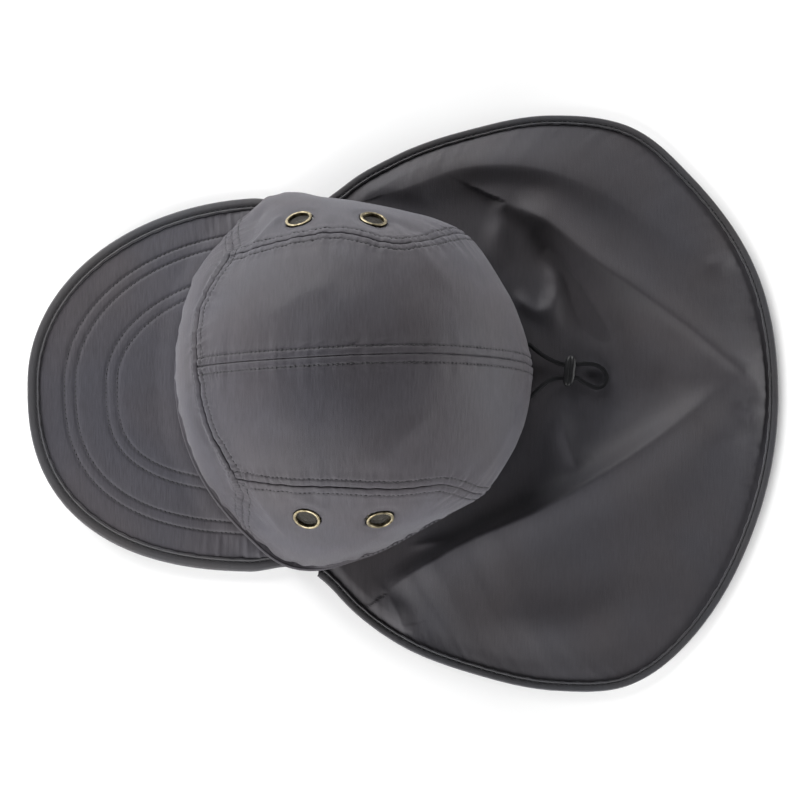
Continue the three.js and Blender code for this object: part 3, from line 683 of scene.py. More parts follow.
def toggle_material():
    """Moulded black plastic with a faint texture."""
    material, tree, shader = new_material("moulded_plastic")
    spot = object_space(tree)
    scuffs = noise(tree, stretched(tree, spot, (0.2, 1.0, 1.0)), 900, 3.0)
    paint(tree, shader, (0.006, 0.0062, 0.007), scuffs, 0.8, 1.5)
    tree.links.new(ramp(tree, scuffs, 0.42, 0.58), shader.inputs["Roughness"])
    add_bump(tree, shader, noise(tree, spot, 2400, 2.0), 0.3, 0.03 * MM)
    shader.inputs["Specular IOR Level"].default_value = 0.25
    return material


crown_cloth = cloth_material("crown_nylon", (0.033, 0.030, 0.0365))
peak_cloth = cloth_material("peak_nylon", (0.0435, 0.0405, 0.048))
flap_cloth = cloth_material("flap_nylon", (0.0305, 0.028, 0.0325), streak=0.6)
tape_cloth = cloth_material("bias_tape", (0.0375, 0.0365, 0.040), weave_pitch=0.5 * MM, streak=0.5)
thread = grainy_material(
    "thread", (0.008, 0.008, 0.010), 4200, (0.7, 1.4), roughness=0.55, detail=1.0, bump=(0.6, 0.06 * MM),
)
brass = brass_material()
wire = grainy_material("mesh_thread", (0.042, 0.037, 0.029), 3000, (0.7, 1.35), roughness=0.5)
elastic = grainy_material(
    "braided_elastic", (0.004, 0.0041, 0.005), 5200, (0.6, 1.6), roughness=0.65, specular=0.12,
    bump=(0.4, 0.03 * MM),
)
plastic = toggle_material()


# Cord and toggle
CORD_SIDES = 20
CORD_STEP = 0.3 * MM
CORD_SAMPLES = 1200
BRAID_RELIEF = 0.07 * MM
BRAID_STRANDS = 8
BRAID_PITCH = 3.4 * MM


def tube_skin(points, radius, sides):
    """Rings of points round a line, which don't twist. radius is one number, or one for each point."""
    tangent = unit(np.gradient(points, axis=0))
    side = np.empty_like(tangent)
    side[0] = unit(np.cross(tangent[0], (0, 0, 1)))
    for i in range(1, len(points)):
        side[i] = unit(side[i - 1] - tangent[i] * np.dot(side[i - 1], tangent[i]))
    up = np.cross(tangent, side)
    turn = np.linspace(0, 2 * np.pi, sides, endpoint=False)[None, :, None]
    ring = np.cos(turn) * side[:, None, :] + np.sin(turn) * up[:, None, :]
    return points[:, None, :] + np.asarray(radius)[..., None] * ring


def make_cord():
    """The elastic cord: a tube whose skin is a braid of strands that cross over each other."""
    dense = Line(spline(CORD_ROUTE)(np.linspace(0, 1, CORD_SAMPLES)))
    count = int(dense.length / CORD_STEP)
    arcs = np.linspace(0, dense.length, count + 1)
    turn = np.linspace(0, 2 * np.pi, CORD_SIDES, endpoint=False)
    winding = 2 * np.pi * arcs[:, None] / BRAID_PITCH
    strands = np.maximum(
        np.sin(BRAID_STRANDS / 2 * turn[None, :] + winding),
        np.sin(BRAID_STRANDS / 2 * turn[None, :] - winding),
    )
    radius = CORD_RADIUS - BRAID_RELIEF * (1 - strands) / 2
    skin = tube_skin(dense.at(arcs), radius, CORD_SIDES).reshape(-1, 3)
    piece = make_object("elastic_cord", skin, sweep_faces(count, CORD_SIDES, False), elastic)
    outward(piece)
    return place(piece, "elastic_cord", "cord"), dense


TOGGLE_RINGS = 56
TOGGLE_SIDES = 64
TOGGLE_LEAN = math.tan(math.radians(6.6))
TOGGLE_GROOVE = 0.5 * MM
TOGGLE_GROOVE_WIDTH = 0.75 * MM
TOGGLE_WAIST = 0.08
TOGGLE_WAIST_WIDTH = 2 * MM
TOGGLE_SWELL = 2.8
TOGGLE_SQUARENESS = 2.5


def drilled(piece, positions, radius):
    """Cuts round holes along x through a piece, at positions along y."""
    for y in positions:
        drill = bmesh.new()
        depth = 4 * TOGGLE_DEPTH
        bmesh.ops.create_cone(drill, cap_ends=True, segments=32, depth=depth, radius1=radius, radius2=radius)
        mesh = bpy.data.meshes.new("drill")
        drill.to_mesh(mesh)
        drill.free()
        tool = add_object("drill", mesh)
        tool.rotation_euler = (0, math.pi / 2, 0)
        tool.location = shown(TOGGLE_AT + (0, y, 0))
        cut = piece.modifiers.new("hole", "BOOLEAN")
        cut.operation = "DIFFERENCE"
        cut.object = tool
        apply_modifiers(piece)
        bpy.data.objects.remove(tool)


def make_toggle():
    """The toggle: a leaning bean with a waist, two ridges along its top, and two holes for the cord."""
    turn = np.linspace(-np.pi / 2, np.pi / 2, TOGGLE_RINGS + 1)
    along = np.sin(turn * 0.98)
    swell = (1 - np.abs(along) ** TOGGLE_SWELL) ** (1 / TOGGLE_SWELL)
    around = np.linspace(0, 2 * np.pi, TOGGLE_SIDES, endpoint=False)
    square = 2 / TOGGLE_SQUARENESS
    across = np.sign(np.cos(around)) * np.abs(np.cos(around)) ** square
    up = np.sign(np.sin(around)) * np.abs(np.sin(around)) ** square
    y = along * TOGGLE_LENGTH / 2
    waist = 1 - TOGGLE_WAIST * bell(y, TOGGLE_WAIST_WIDTH)
    x = np.outer(swell * waist, across) * TOGGLE_DEPTH / 2
    z = np.outer(swell, up) * TOGGLE_HEIGHT / 2
    on_top = smooth(0.1, 0.8, up)[None, :] * swell[:, None]
    z = z - TOGGLE_GROOVE * bell(x, TOGGLE_GROOVE_WIDTH) * on_top
    length = np.repeat(y[:, None], TOGGLE_SIDES, axis=1)
    skin = np.stack([x + length * TOGGLE_LEAN, length, z], axis=2)
    points = skin.reshape(-1, 3) + TOGGLE_AT
    piece = make_object("toggle", points, sweep_faces(TOGGLE_RINGS, TOGGLE_SIDES, False), plastic)
    outward(piece)
    drilled(piece, (-TOGGLE_HOLE_SPACING / 2, TOGGLE_HOLE_SPACING / 2), CORD_RADIUS + FIT_GAP)
    return place(piece, "lock_plastic", "cord_lock")


cord, cord_line = make_cord()
toggle = make_toggle()


# The crown's surface, seams and relief
def crown_surface(disc):
    along, across = disc[:, 0], disc[:, 1]
    out = np.hypot(along, across)
    angle = np.arctan2(across, along)
    power = 2 / CROWN_SQUARENESS
    turn = np.minimum(out, 1) * (np.pi / 2)
    spread = np.sin(turn) ** power
    rise = np.maximum(0, np.cos(turn)) ** power
    rim = rim_radius(np.degrees(angle))
    around = CROWN_REACH * mix(1.0, 0.965, (1 + np.cos(angle)) / 2)
    reach = mix(around, rim, smooth(0.5, 1, out)) * spread
    for dent_along, dent_across, size, depth in CROWN_DENTS:
        away = np.hypot(along - dent_along, across - dent_across)
        reach += CROWN_REACH * depth * bell(away, size) * smooth(1.02, 0.8, out)
    foot = RIM_BASE + arch_at(rim * np.cos(angle), rim * np.sin(angle))
    return np.stack([
        reach * np.cos(angle),
        reach * np.sin(angle) + CROWN_LEAN * rise,
        foot + (CROWN_HEIGHT - foot) * rise,
    ], axis=1)


def crown_normal(disc):
    step = 0.004
    out = np.hypot(disc[:, 0], disc[:, 1])
    keep = np.minimum(1, (1 - 1.5 * step) / np.maximum(out, 1e-6))
    at = disc * keep[:, None]
    along = crown_surface(at + (step, 0)) - crown_surface(at - (step, 0))
    across = crown_surface(at + (0, step)) - crown_surface(at - (0, step))
    return unit(np.cross(along, across))


def rim_arc(start, stop):
    return lambda share: polar(1, mix(start, stop, np.asarray(share, float)))


def stretch(curve, start, stop):
    return lambda share: curve(mix(start, stop, np.asarray(share, float)))


def coons(low, high, start, end):
    """A four-sided patch between curves: low and high run along u, start and end along v."""
    corners = [low(np.array(0.0)), low(np.array(1.0)), high(np.array(0.0)), high(np.array(1.0))]

    def read(u, v):
        s, t = u[..., None], v[..., None]
        flat = mix(mix(corners[0], corners[1], s), mix(corners[2], corners[3], s), t)
        return mix(low(u), high(u), t) + mix(start(v), end(v), s) - flat

    return read


SEAM_SAMPLES = 420
CREASE_SAMPLES = 200


def crown_line(curve, samples):
    return Line(crown_surface(curve(np.linspace(0, 1, samples))))


front_seam = spline(FRONT_SEAM)
right_seam = spline(RIGHT_SEAM)
left_seam = spline(LEFT_SEAM)
centre_seam = spline(CENTRE_SEAM)
SEAMS = {
    "front": {"curve": front_seam, "shoulder": 0, "pucker": 0.42 * MM, "seed": 11},
    "right": {"curve": right_seam, "shoulder": 1.4 * MM, "pucker": 0.42 * MM, "seed": 12},
    "left": {"curve": left_seam, "shoulder": 1.4 * MM, "pucker": 0.38 * MM, "seed": 13},
    "centre": {"curve": centre_seam, "shoulder": 0, "pucker": 0.28 * MM, "seed": 14},
}
for seam in SEAMS.values():
    seam["line"] = crown_line(seam["curve"], SEAM_SAMPLES)
for crease in CROWN_CREASES:
    crease["at"] = crown_line(spline(crease["line"]), CREASE_SAMPLES)

# Relief beside a seam: heights and widths of its groove, its puffed edge, its rows and the layers below it
SEAM_GROOVE, SEAM_GROOVE_WIDTH = 0.6 * MM, 0.42 * MM
SEAM_PUFF, SEAM_PUFF_AT, SEAM_PUFF_WIDTH = 0.2 * MM, 2.1 * MM, 1.3 * MM
ROW_GROOVE, ROW_WIDTH = 0.38 * MM, 0.45 * MM
LAYERS, LAYERS_FULL, LAYERS_END = 0.25 * MM, 5 * MM, 9 * MM
SHOULDER_WIDTH = 21 * MM
PUCKER_LENGTH, PUCKER_REACH, PUCKER_SHIFT = 2.9 * MM, 6.5 * MM, 1.2 * MM
LONG_PUCKER_LENGTH, LONG_PUCKER_REACH = 11 * MM, 9 * MM

# The cloth is drawn in round a vent, and it is plain under the ring
VENT_DENT, VENT_DENT_AT, VENT_DENT_WIDTH = 0.5 * MM, 8.6 * MM, 2.4 * MM
VENT_PLAIN, VENT_FREE = 5.5 * MM, 8.5 * MM

# The crown's lower edge is drawn in above the hem, most at the left of the peak
TUCK_TABLE = [
    (-180, 1.2 * MM), (-165, 2.6 * MM), (-145, 3.2 * MM), (-120, 3.6 * MM), (-104, 3.4 * MM), (-90, 1.6 * MM),
    (-60, 0.6 * MM), (0, 0.5 * MM), (60, 0.5 * MM), (100, 0.8 * MM), (140, 0.8 * MM),
]
tuck_depth = table_curve(TUCK_TABLE, closed=True)
EDGE_FOLD, EDGE_FOLD_LENGTH = 0.7 * MM, 0.022  # the length is a share of the way round

# Soft lumps of the cloth, as (height, size, seed)
CROWN_LUMPS = [(0.85 * MM, 33 * MM, 3), (0.22 * MM, 11 * MM, 4)]
SPREAD = 130 * MM  # length on the cloth of one unit of the disc, for the lumps


def crown_relief(disc, base):
    """Height of the seams, puckers, wrinkles and soft lumps over the crown's plain surface."""
    x, y = disc[:, 0] * SPREAD, disc[:, 1] * SPREAD
    out = np.hypot(disc[:, 0], disc[:, 1])
    inner = smooth(1.0, 0.93, out)
    height = sum(lump * lattice_noise(x, y, size, seed) * inner for lump, size, seed in CROWN_LUMPS)
    for seam in SEAMS.values():
        away, arc = seam["line"].near(base)
        height += seam["shoulder"] * bell(away, SHOULDER_WIDTH) * inner
        height -= SEAM_GROOVE * bell(away, SEAM_GROOVE_WIDTH)
        height += SEAM_PUFF * bell(away - SEAM_PUFF_AT, SEAM_PUFF_WIDTH)
        height -= ROW_GROOVE * bell(away - SEAM_ROW, ROW_WIDTH)
        height += LAYERS * smooth(LAYERS_END, LAYERS_FULL, away)
        band = smooth(0, 1.2 * MM, away) * bell(np.maximum(away - SEAM_ROW, 0), PUCKER_REACH / 2)
        uneven = 0.6 + 0.8 * np.abs(lattice_noise(arc, away * 0.3, 17 * MM, seam["seed"]))
        shift = PUCKER_SHIFT * lattice_noise(arc, away, 5 * MM, seam["seed"] + 50)
        height += seam["pucker"] * band * uneven * ripple(arc + shift, PUCKER_LENGTH, seam["seed"])
        band = bell(np.maximum(away - SEAM_ROW, 0), LONG_PUCKER_REACH)
        height += 0.9 * seam["pucker"] * band * ripple(arc, LONG_PUCKER_LENGTH, seam["seed"] + 90)
    for crease in CROWN_CREASES:
        away, arc = crease["at"].near(base)
        share = arc / crease["at"].length
        taper = smooth(-0.05, 0.25, share) * smooth(1.05, 0.75, share)
        height += crease["height"] * MM * taper * np.exp(-((away / (crease["width"] * MM)) ** 1.6))
    for at in VENTS_AT.values():
        away = np.linalg.norm(base - crown_surface(np.array([at])), axis=1)
        height -= VENT_DENT * bell(away - VENT_DENT_AT, VENT_DENT_WIDTH)
        height = height * smooth(VENT_PLAIN, VENT_FREE, away)
    degrees = angle_of(disc)
    tuck = tuck_depth(degrees) * smooth(0.72, 0.985, out)
    folds = EDGE_FOLD * ripple(degrees / 360, EDGE_FOLD_LENGTH, 77) * smooth(0.86, 0.97, out)
    return height - tuck + folds


def crown_skin(disc):
    """Points of the finished crown, and its plain normals, at points of the disc."""
    base = crown_surface(disc)
    normal = crown_normal(disc)
    return base + normal * crown_relief(disc, base)[:, None], normal


def crowded(count, crowd):
    """Shares from 0 to 1 that lie closer together at both ends."""
    share = np.linspace(0, 1, count + 1)
    return share - crowd * np.sin(2 * np.pi * share) / (2 * np.pi)


RIGHT_FRONT = angle_of(FRONT_SEAM[0])
LEFT_FRONT = angle_of(FRONT_SEAM[-1])
RIGHT_BACK = angle_of(RIGHT_SEAM[-1])
LEFT_BACK = angle_of(LEFT_SEAM[-1])
CENTRE_BACK = angle_of(CENTRE_SEAM[-1])
RIGHT_JOINT, CENTRE_JOINT, LEFT_JOINT = 2 / 8, 4 / 8, 6 / 8
FRONT_TAPER = 1 / 8
SIDE_TAPER = 7 / 8

# Panels, each a patch between four curves: two along its columns, and the two that join their starts and ends
PANELS = [
    {"name": "front_panel", "replaced": "crown_front", "columns": 250, "rows": 52, "sides": (
        rim_arc(RIGHT_FRONT, LEFT_FRONT + 360), stretch(front_seam, FRONT_TAPER, 1 - FRONT_TAPER),
        stretch(front_seam, 0, FRONT_TAPER), stretch(front_seam, 1, 1 - FRONT_TAPER),
    )},
    {"name": "right_side_panel", "replaced": "crown_side_right", "columns": 150, "rows": 84, "sides": (
        rim_arc(RIGHT_FRONT, RIGHT_BACK), stretch(right_seam, 0, SIDE_TAPER),
        stretch(front_seam, 0, RIGHT_JOINT), stretch(right_seam, 1, SIDE_TAPER),
    )},
    {"name": "left_side_panel", "replaced": "crown_side_left", "columns": 150, "rows": 84, "sides": (
        rim_arc(LEFT_FRONT, LEFT_BACK), stretch(left_seam, 0, SIDE_TAPER),
        stretch(front_seam, 1, LEFT_JOINT), stretch(left_seam, 1, SIDE_TAPER),
    )},
    {"name": "right_top_panel", "replaced": "crown_top_right", "columns": 200, "rows": 108, "sides": (
        centre_seam, right_seam,
        stretch(front_seam, CENTRE_JOINT, RIGHT_JOINT), rim_arc(CENTRE_BACK, RIGHT_BACK),
    )},
    {"name": "left_top_panel", "replaced": "crown_top_left", "columns": 200, "rows": 108, "sides": (
        centre_seam, left_seam,
        stretch(front_seam, CENTRE_JOINT, LEFT_JOINT), rim_arc(CENTRE_BACK, LEFT_BACK),
    )},
]


def make_panel(name, replaced, columns, rows, sides):
    slit = SEAM_SLIT / (70 * MM)
    u, v = np.meshgrid(
        mix(slit, 1 - slit, crowded(columns, 0.35)),
        mix(slit, 1 - slit, crowded(rows, 0.55)),
        indexing="ij",
    )
    disc = coons(*sides)(u, v).reshape(-1, 2)
    grid = crown_skin(disc)[0].reshape(columns + 1, rows + 1, 3)
    length = np.linalg.norm(np.diff(grid, axis=0), axis=2).sum(axis=0).mean()
    width = np.linalg.norm(np.diff(grid, axis=1), axis=2).sum(axis=1).mean()
    uvs = np.stack([u.ravel() * length, v.ravel() * width], axis=1)
    plain = crown_surface(disc)
    holes = []
    for places, size in ((VENTS_AT, VENT), (CORD_EYELETS_AT, CORD_EYELET)):
        for at in places.values():
            away = np.linalg.norm(plain - crown_surface(np.array([at])), axis=1)
            holes.append((away, (size["radius"] + size["bore"] + EYELET_WALL) / 2))
    piece = make_sheet(name, grid, crown_normal(disc), uvs, crown_cloth, CROWN_WALL, holes)
    return place(piece, "crown_cloth", replaced)


for panel in PANELS:
    make_panel(**panel)


# Stitches
STITCH_SIDES = 5
STITCH_RINGS = 4
STITCH_SHARE = 0.6  # length of a stitch's visible thread, as a share of the pitch


def stitch_template():
    """One stitch along x from -0.5 to 0.5: across and up in radii of the thread, and the share of its bow."""
    points = []
    for i in range(STITCH_RINGS + 1):
        share = i / STITCH_RINGS
        bow = math.sin(math.pi * share)
        thick = 0.35 + 0.65 * bow
        for j in range(STITCH_SIDES):
            angle = 2 * math.pi * j / STITCH_SIDES
            points.append((share - 0.5, thick * math.cos(angle), thick * math.sin(angle), bow))
    open_ended = sweep_faces(STITCH_RINGS, STITCH_SIDES, False)[:-2]
    return np.array(points), np.array(open_ended)


def level_row(points):
    """A row of stitches on cloth that lies about level."""
    return points, np.tile((0.0, 0.0, 1.0), (len(points), 1))


def make_stitches(name, rows, pitch=STITCH_PITCH, bow=0.2 * MM):
    """Stitches along rows, each a pair of points and normals on the cloth, as one piece."""
    template, template_faces = stitch_template()
    parts = []
    for points, normals in rows:
        line = Line(points)
        count = max(1, int(line.length / pitch))
        arcs = (np.arange(count) + 0.5) * line.length / count
        middle = line.at(arcs)
        start = line.at(arcs - pitch * STITCH_SHARE / 2)
        end = line.at(arcs + pitch * STITCH_SHARE / 2)
        up = unit(np.stack([np.interp(arcs, line.arc, column) for column in np.asarray(normals).T], axis=1))
        forward = end - start
        side = unit(np.cross(up, forward))
        placed = (
            middle[:, None, :]
            + template[None, :, 0:1] * forward[:, None, :]
            + template[None, :, 1:2] * THREAD_RADIUS * side[:, None, :]
            + (template[None, :, 2:3] * THREAD_RADIUS + template[None, :, 3:] * bow) * up[:, None, :]
        )
        offsets = np.arange(count)[:, None, None] * len(template)
        parts.append((placed.reshape(-1, 3), (template_faces + offsets).reshape(-1, 4)))
    return place(make_object(name, *joined(parts), thread), "tape_cloth")


def crown_row(seam, side):
    """A row of stitches beside a seam, on its left (1) or right (-1) as it runs."""
    disc = seam["curve"](np.linspace(0.01, 0.99, 320))
    points = crown_surface(disc)
    tangent = np.gradient(points, axis=0)
    normal = crown_normal(disc)
    beside = unit(np.cross(normal, tangent))
    target = points + side * SEAM_ROW * beside
    slope = 0.01
    for _ in range(4):
        here = crown_surface(disc)
        along = (crown_surface(disc + (slope, 0)) - here) / slope
        across = (crown_surface(disc + (0, slope)) - here) / slope
        jacobian = np.stack([along, across], axis=2)
        gap = target - here
        disc = disc + np.stack([np.linalg.lstsq(a, b, rcond=None)[0] for a, b in zip(jacobian, gap)])
    inside = np.hypot(disc[:, 0], disc[:, 1]) < 0.985
    return crown_skin(disc[inside])


make_stitches("crown_stitches", [crown_row(seam, side) for seam in SEAMS.values() for side in (1, -1)])


# Hem: a folded band under the crown's cloth. It lies flat beside the left of the peak, and stands up
# elsewhere.
HEM_STEPS = 620
HEM_BAND = 4.2 * MM
HEM_THICKNESS = 1.5 * MM
HEM_ROW = 3.1 * MM
HEM_PUCKER, HEM_PUCKER_LENGTH = 0.28 * MM, 4.2 * MM
HEM_STANDING = 0.9  # height of the standing band, as a share of its width
HEM_LEAN_TABLE = [
    (-180, 35), (-165, 62), (-140, 80), (-118, 93), (-104, 90), (-96, 50), (-80, 12), (0, 8),
    (90, 10), (130, 25),
]
hem_lean = table_curve(HEM_LEAN_TABLE, closed=True)


def band_section(width, thickness, points=7):
    """A flat band with round edges and a rolled lip at its outer edge: across from 0 to width, and up."""
    half = thickness / 2
    section = []
    for angle in np.linspace(-math.pi / 2, -3 * math.pi / 2, points):
        section.append((half + half * math.cos(angle), half * math.sin(angle)))
    section += [(1.0 * MM, half + 0.22 * MM), (1.35 * MM, half - 0.14 * MM), (1.75 * MM, half)]
    for angle in np.linspace(math.pi / 2, -math.pi / 2, points):
        section.append((width - half + half * math.cos(angle), half * math.sin(angle)))
    return np.array(section)


def make_hem():
    """The hem, swept round the rim. across runs up the band from its lower, outer edge."""
    degrees = np.linspace(-180, 180, HEM_STEPS, endpoint=False)
    rim = rim_plan(degrees, 0)
    tangent = unit(np.gradient(np.concatenate([rim[-1:], rim, rim[:1]]), axis=0)[1:-1])
    outwards = np.stack([tangent[:, 1], -tangent[:, 0]], axis=1)
    arc = np.cumsum(np.linalg.norm(np.diff(rim, axis=0, prepend=rim[-1:]), axis=1))
    lean = np.radians(hem_lean(degrees))
    drawn = 0.3 + 0.7 * smooth(70, 90, hem_lean(degrees))
    pucker = HEM_PUCKER * ripple(arc, HEM_PUCKER_LENGTH, 31) * drawn
    section = band_section(HEM_BAND, HEM_THICKNESS)
    foot = HEM_BASE + HEM_THICKNESS / 2 + arch_at(rim[:, 0], rim[:, 1])

    def on_band(across, up, wave=0.0):
        inset = HEM_THICKNESS / 2 + across * np.sin(lean) - up * np.cos(lean)
        rise = across * np.cos(lean) * HEM_STANDING + up * np.sin(lean)
        return np.column_stack([rim - outwards * inset[:, None], foot + rise + wave])

    rings = [on_band(across, up, pucker * smooth(0, HEM_BAND, across)) for across, up in section]
    place(swept("hem_band", rings, arc, section, True, crown_cloth), "crown_cloth", "crown_hem")
    normals = np.column_stack([outwards * np.cos(lean)[:, None], np.sin(lean)])
    return on_band(HEM_ROW, HEM_THICKNESS / 2), normals


hem_row = make_hem()


# Outlines of the peak and the flap, spaced evenly
END_REACH = 20 * MM
OUTLINE_SHARES = np.linspace(0, 1, 4000)


class Outline:
    """An open outline in plan, read by its length and drawn in at its ends. Its inside is on its left."""

    def __init__(self, curve, draw_in=0.0):
        self.line = Line(curve(OUTLINE_SHARES))
        self.length = self.line.length
        self.draw_in = draw_in

    def at(self, arcs, inset):
        ends = np.clip(arcs, 0, self.length)
        point = self.line.at(ends)
        reach = 0.6 * MM
        ahead = self.line.at(np.clip(ends + reach, 0, self.length))
        behind = self.line.at(np.clip(ends - reach, 0, self.length))
        along = unit(ahead - behind)
        inward = np.stack([-along[:, 1], along[:, 0]], axis=1)
        inset = inset + self.draw_in * smooth(END_REACH, 0, np.minimum(arcs, self.length - arcs))
        return point + inward * inset[:, None]


def peak_curve(share):
    turn = np.clip((share - PEAK_TAIL_SHARE) / (1 - 2 * PEAK_TAIL_SHARE), 0, 1)
    ends = np.maximum(np.maximum(0, PEAK_TAIL_SHARE - share), share - 1 + PEAK_TAIL_SHARE)
    past = ends / PEAK_TAIL_SHARE * PEAK_TAIL
    power = 2 / np.where(turn < 0.5, PEAK_FULLNESS["right"], PEAK_FULLNESS["left"])
    c, s = np.sin(np.pi * turn), np.cos(np.pi * turn)
    return np.stack([
        past - PEAK_SET_FORWARD - PEAK_LENGTH * c**power,
        PEAK_HALF_WIDTH * np.sign(s) * np.abs(s) ** power,
    ], axis=1)


def flap_curve(share):
    degrees = mix(FLAP_FROM, FLAP_TO, share)
    return polar(flap_radius(degrees), degrees)


def plate_height(tape_height, thickness, sink, past_rim, past_tape):
    """Height of a plate's middle: in the tape's slot at its edge, and close under the hem at its rear."""
    under_hem = HEM_BASE - FIT_GAP - thickness / 2
    share = smooth(sink, 0, past_rim) * smooth(0, 2 * TAPE_WIDTH, past_tape)
    return mix(tape_height / 2, under_hem, share)


def plate_grid(outline, arcs, rear, lines, tuck):
    """A plate in plan from its rear to the tape's slot, and each point's way past the rim and the tape."""
    edge = outline.at(arcs, TAPE_THICKNESS + FIT_GAP)
    length = np.linalg.norm(edge - rear, axis=1)[:, None]
    share = np.linspace(0, 1, lines + 1)[None, :]
    plan = mix(rear[:, None, :], edge[:, None, :], share[..., None]).reshape(-1, 2)
    return plan, (share * length - tuck).ravel(), ((1 - share) * length - TAPE_WIDTH).ravel()


def make_plate(name, plan, top, lines, material, thickness):
    grid = np.column_stack([plan, top]).reshape(-1, lines + 1, 3)
    return make_sheet(name, grid, (0, 0, 1), plan, material, thickness)


# Peak
PEAK_COLUMNS = 420
PEAK_LINES = 84
PEAK_DRAWN_IN = 2.5 * MM
QUILT_PUFF = 0.25 * MM
QUILT_GROOVE, QUILT_GROOVE_WIDTH = 0.48 * MM, 0.5 * MM
QUILT_HOLLOW, QUILT_HOLLOW_WIDTH = 0.15 * MM, 1.8 * MM
QUILT_LUMP, QUILT_LUMP_SIZE = 0.12 * MM, 14 * MM
END_PUCKER, END_PUCKER_LENGTH = 0.30 * MM, 5.2 * MM
ROW_PUCKER, ROW_PUCKER_LENGTH, ROW_PUCKER_WIDTH = 0.07 * MM, 3.4 * MM, 3.0 * MM
peak_outline = Outline(peak_curve, PEAK_DRAWN_IN)


def peak_relief(plan):
    """Height of the quilting over the peak: grooves at the rows of stitches, soft between them."""
    away, arc = peak_outline.line.near(plan)
    height = np.full(len(plan), QUILT_PUFF)
    for row in PEAK_ROWS:
        height -= QUILT_GROOVE * bell(away - row, QUILT_GROOVE_WIDTH)
        height -= QUILT_HOLLOW * bell(away - row, QUILT_HOLLOW_WIDTH)
    height += QUILT_LUMP * lattice_noise(plan[:, 0], plan[:, 1], QUILT_LUMP_SIZE, 21)
    ends = smooth(70 * MM, 25 * MM, np.minimum(arc, peak_outline.length - arc))
    band = smooth(5 * MM, 8 * MM, away) * smooth(20 * MM, 14 * MM, away)
    height += END_PUCKER * ends * band * ripple(arc, END_PUCKER_LENGTH, 22)
    near_rows = sum(bell(away - row, ROW_PUCKER_WIDTH) for row in PEAK_ROWS)
    height += ROW_PUCKER * near_rows * ripple(arc, ROW_PUCKER_LENGTH, 23)
    return height * smooth(TAPE_WIDTH - 0.5 * MM, TAPE_WIDTH + 2.5 * MM, away)


def peak_top(plan, past_rim, past_tape):
    middle = plate_height(PEAK_TAPE_HEIGHT, PEAK_THICKNESS, 2 * PEAK_TUCK, past_rim, past_tape)
    return middle + arch_at(plan[:, 0], plan[:, 1]) + PEAK_THICKNESS / 2


def make_peak():
    share = np.linspace(0, 1, PEAK_COLUMNS + 1)
    arcs = share * peak_outline.length
    rear = rim_plan(mix(PEAK_FROM, PEAK_TO, share), PEAK_TUCK)
    plan, past_rim, past_tape = plate_grid(peak_outline, arcs, rear, PEAK_LINES, PEAK_TUCK)
    top = peak_top(plan, past_rim, past_tape) + peak_relief(plan)
    piece = make_plate("peak_shell", plan, top, PEAK_LINES, peak_cloth, PEAK_THICKNESS)
    return place(piece, "crown_cloth", "peak")


make_peak()


def peak_row(inset):
    """A row of stitches on the peak, where it isn't under the crown."""
    plan = peak_outline.at(np.linspace(0, peak_outline.length, 900), inset)
    past_rim = np.hypot(plan[:, 0], plan[:, 1]) - rim_radius(angle_of(plan))
    clear = past_rim > 1.0 * MM
    plan = plan[clear]
    top = peak_top(plan, past_rim[clear], np.full(len(plan), inset - TAPE_WIDTH))
    return level_row(np.column_stack([plan, top + peak_relief(plan)]))


make_stitches("peak_stitches", [peak_row(row) for row in PEAK_ROWS])


# Tapes: a channel folded over an edge, with a groove at its row of stitches and a small lip inside it
TAPE_GROOVE = 0.42 * MM


def tape_section(height, slot, row, lip):
    """Channel's outline from its lower lip round the outside to its upper lip and back, as (across, up)."""
    half, gap = height / 2, slot / 2
    top = []
    for angle in np.linspace(0, math.pi / 2, 7):
        top.append((half * 0.55 * (1 - math.cos(angle)), half * math.sin(angle)))
    top += [
        (0.5 * row, half + 0.02 * MM),
        (row - 0.45 * MM, half - 0.02 * MM),
        (row - 0.12 * MM, half - 0.5 * MM),
        (row + 0.14 * MM, half - 0.5 * MM),
        (row + 0.4 * MM, half + 0.1 * MM),
        (row + 0.5 * (lip + 0.3 * MM), half + 0.36 * MM),
        (row + lip - 0.22 * MM, half + 0.1 * MM),
        (row + lip, half - 0.45 * MM),
        (row + lip - 0.1 * MM, gap + 0.06 * MM),
    ]
    bottom = [(x, -min(z, half)) for x, z in reversed(top[1:])]
    inner = [(TAPE_THICKNESS, gap), (TAPE_THICKNESS, -gap)]
    return np.array(bottom + top + inner)


def lift_of(outline, plan):
    """The peak's tape follows its arch, and the flap's tape lies flat."""
    return arch_at(plan[:, 0], plan[:, 1]) if outline is peak_outline else np.zeros(len(plan))


def make_tape(name, node_name, outline, height, slot, row, lip, seed, pucker, steps):
    """A tape along an outline, and the row of stitches on it."""
    section = tape_section(height, slot, row, lip)
    arcs = np.linspace(0, outline.length, steps + 1)
    wave = pucker * ripple(arcs, 4.6 * MM, seed)
    waviness = 0.25 * MM * ripple(arcs, 9 * MM, seed + 1)
    rings = []
    for across, up in section:
        sway = waviness * smooth(row, row + lip, across) if up > 0 else 0
        plan = outline.at(arcs, across + sway)
        raised = up + wave * (smooth(0.4 * MM, row, across) if up > slot / 2 else 0)
        rings.append(np.column_stack([plan, height / 2 + lift_of(outline, plan) + raised]))
    piece = place(swept(name, rings, arcs, section, False, tape_cloth), "tape_cloth", node_name)
    plan = outline.at(arcs, row)
    top = height / 2 + lift_of(outline, plan) + height / 2
    return piece, level_row(np.column_stack([plan, top - TAPE_GROOVE + wave]))


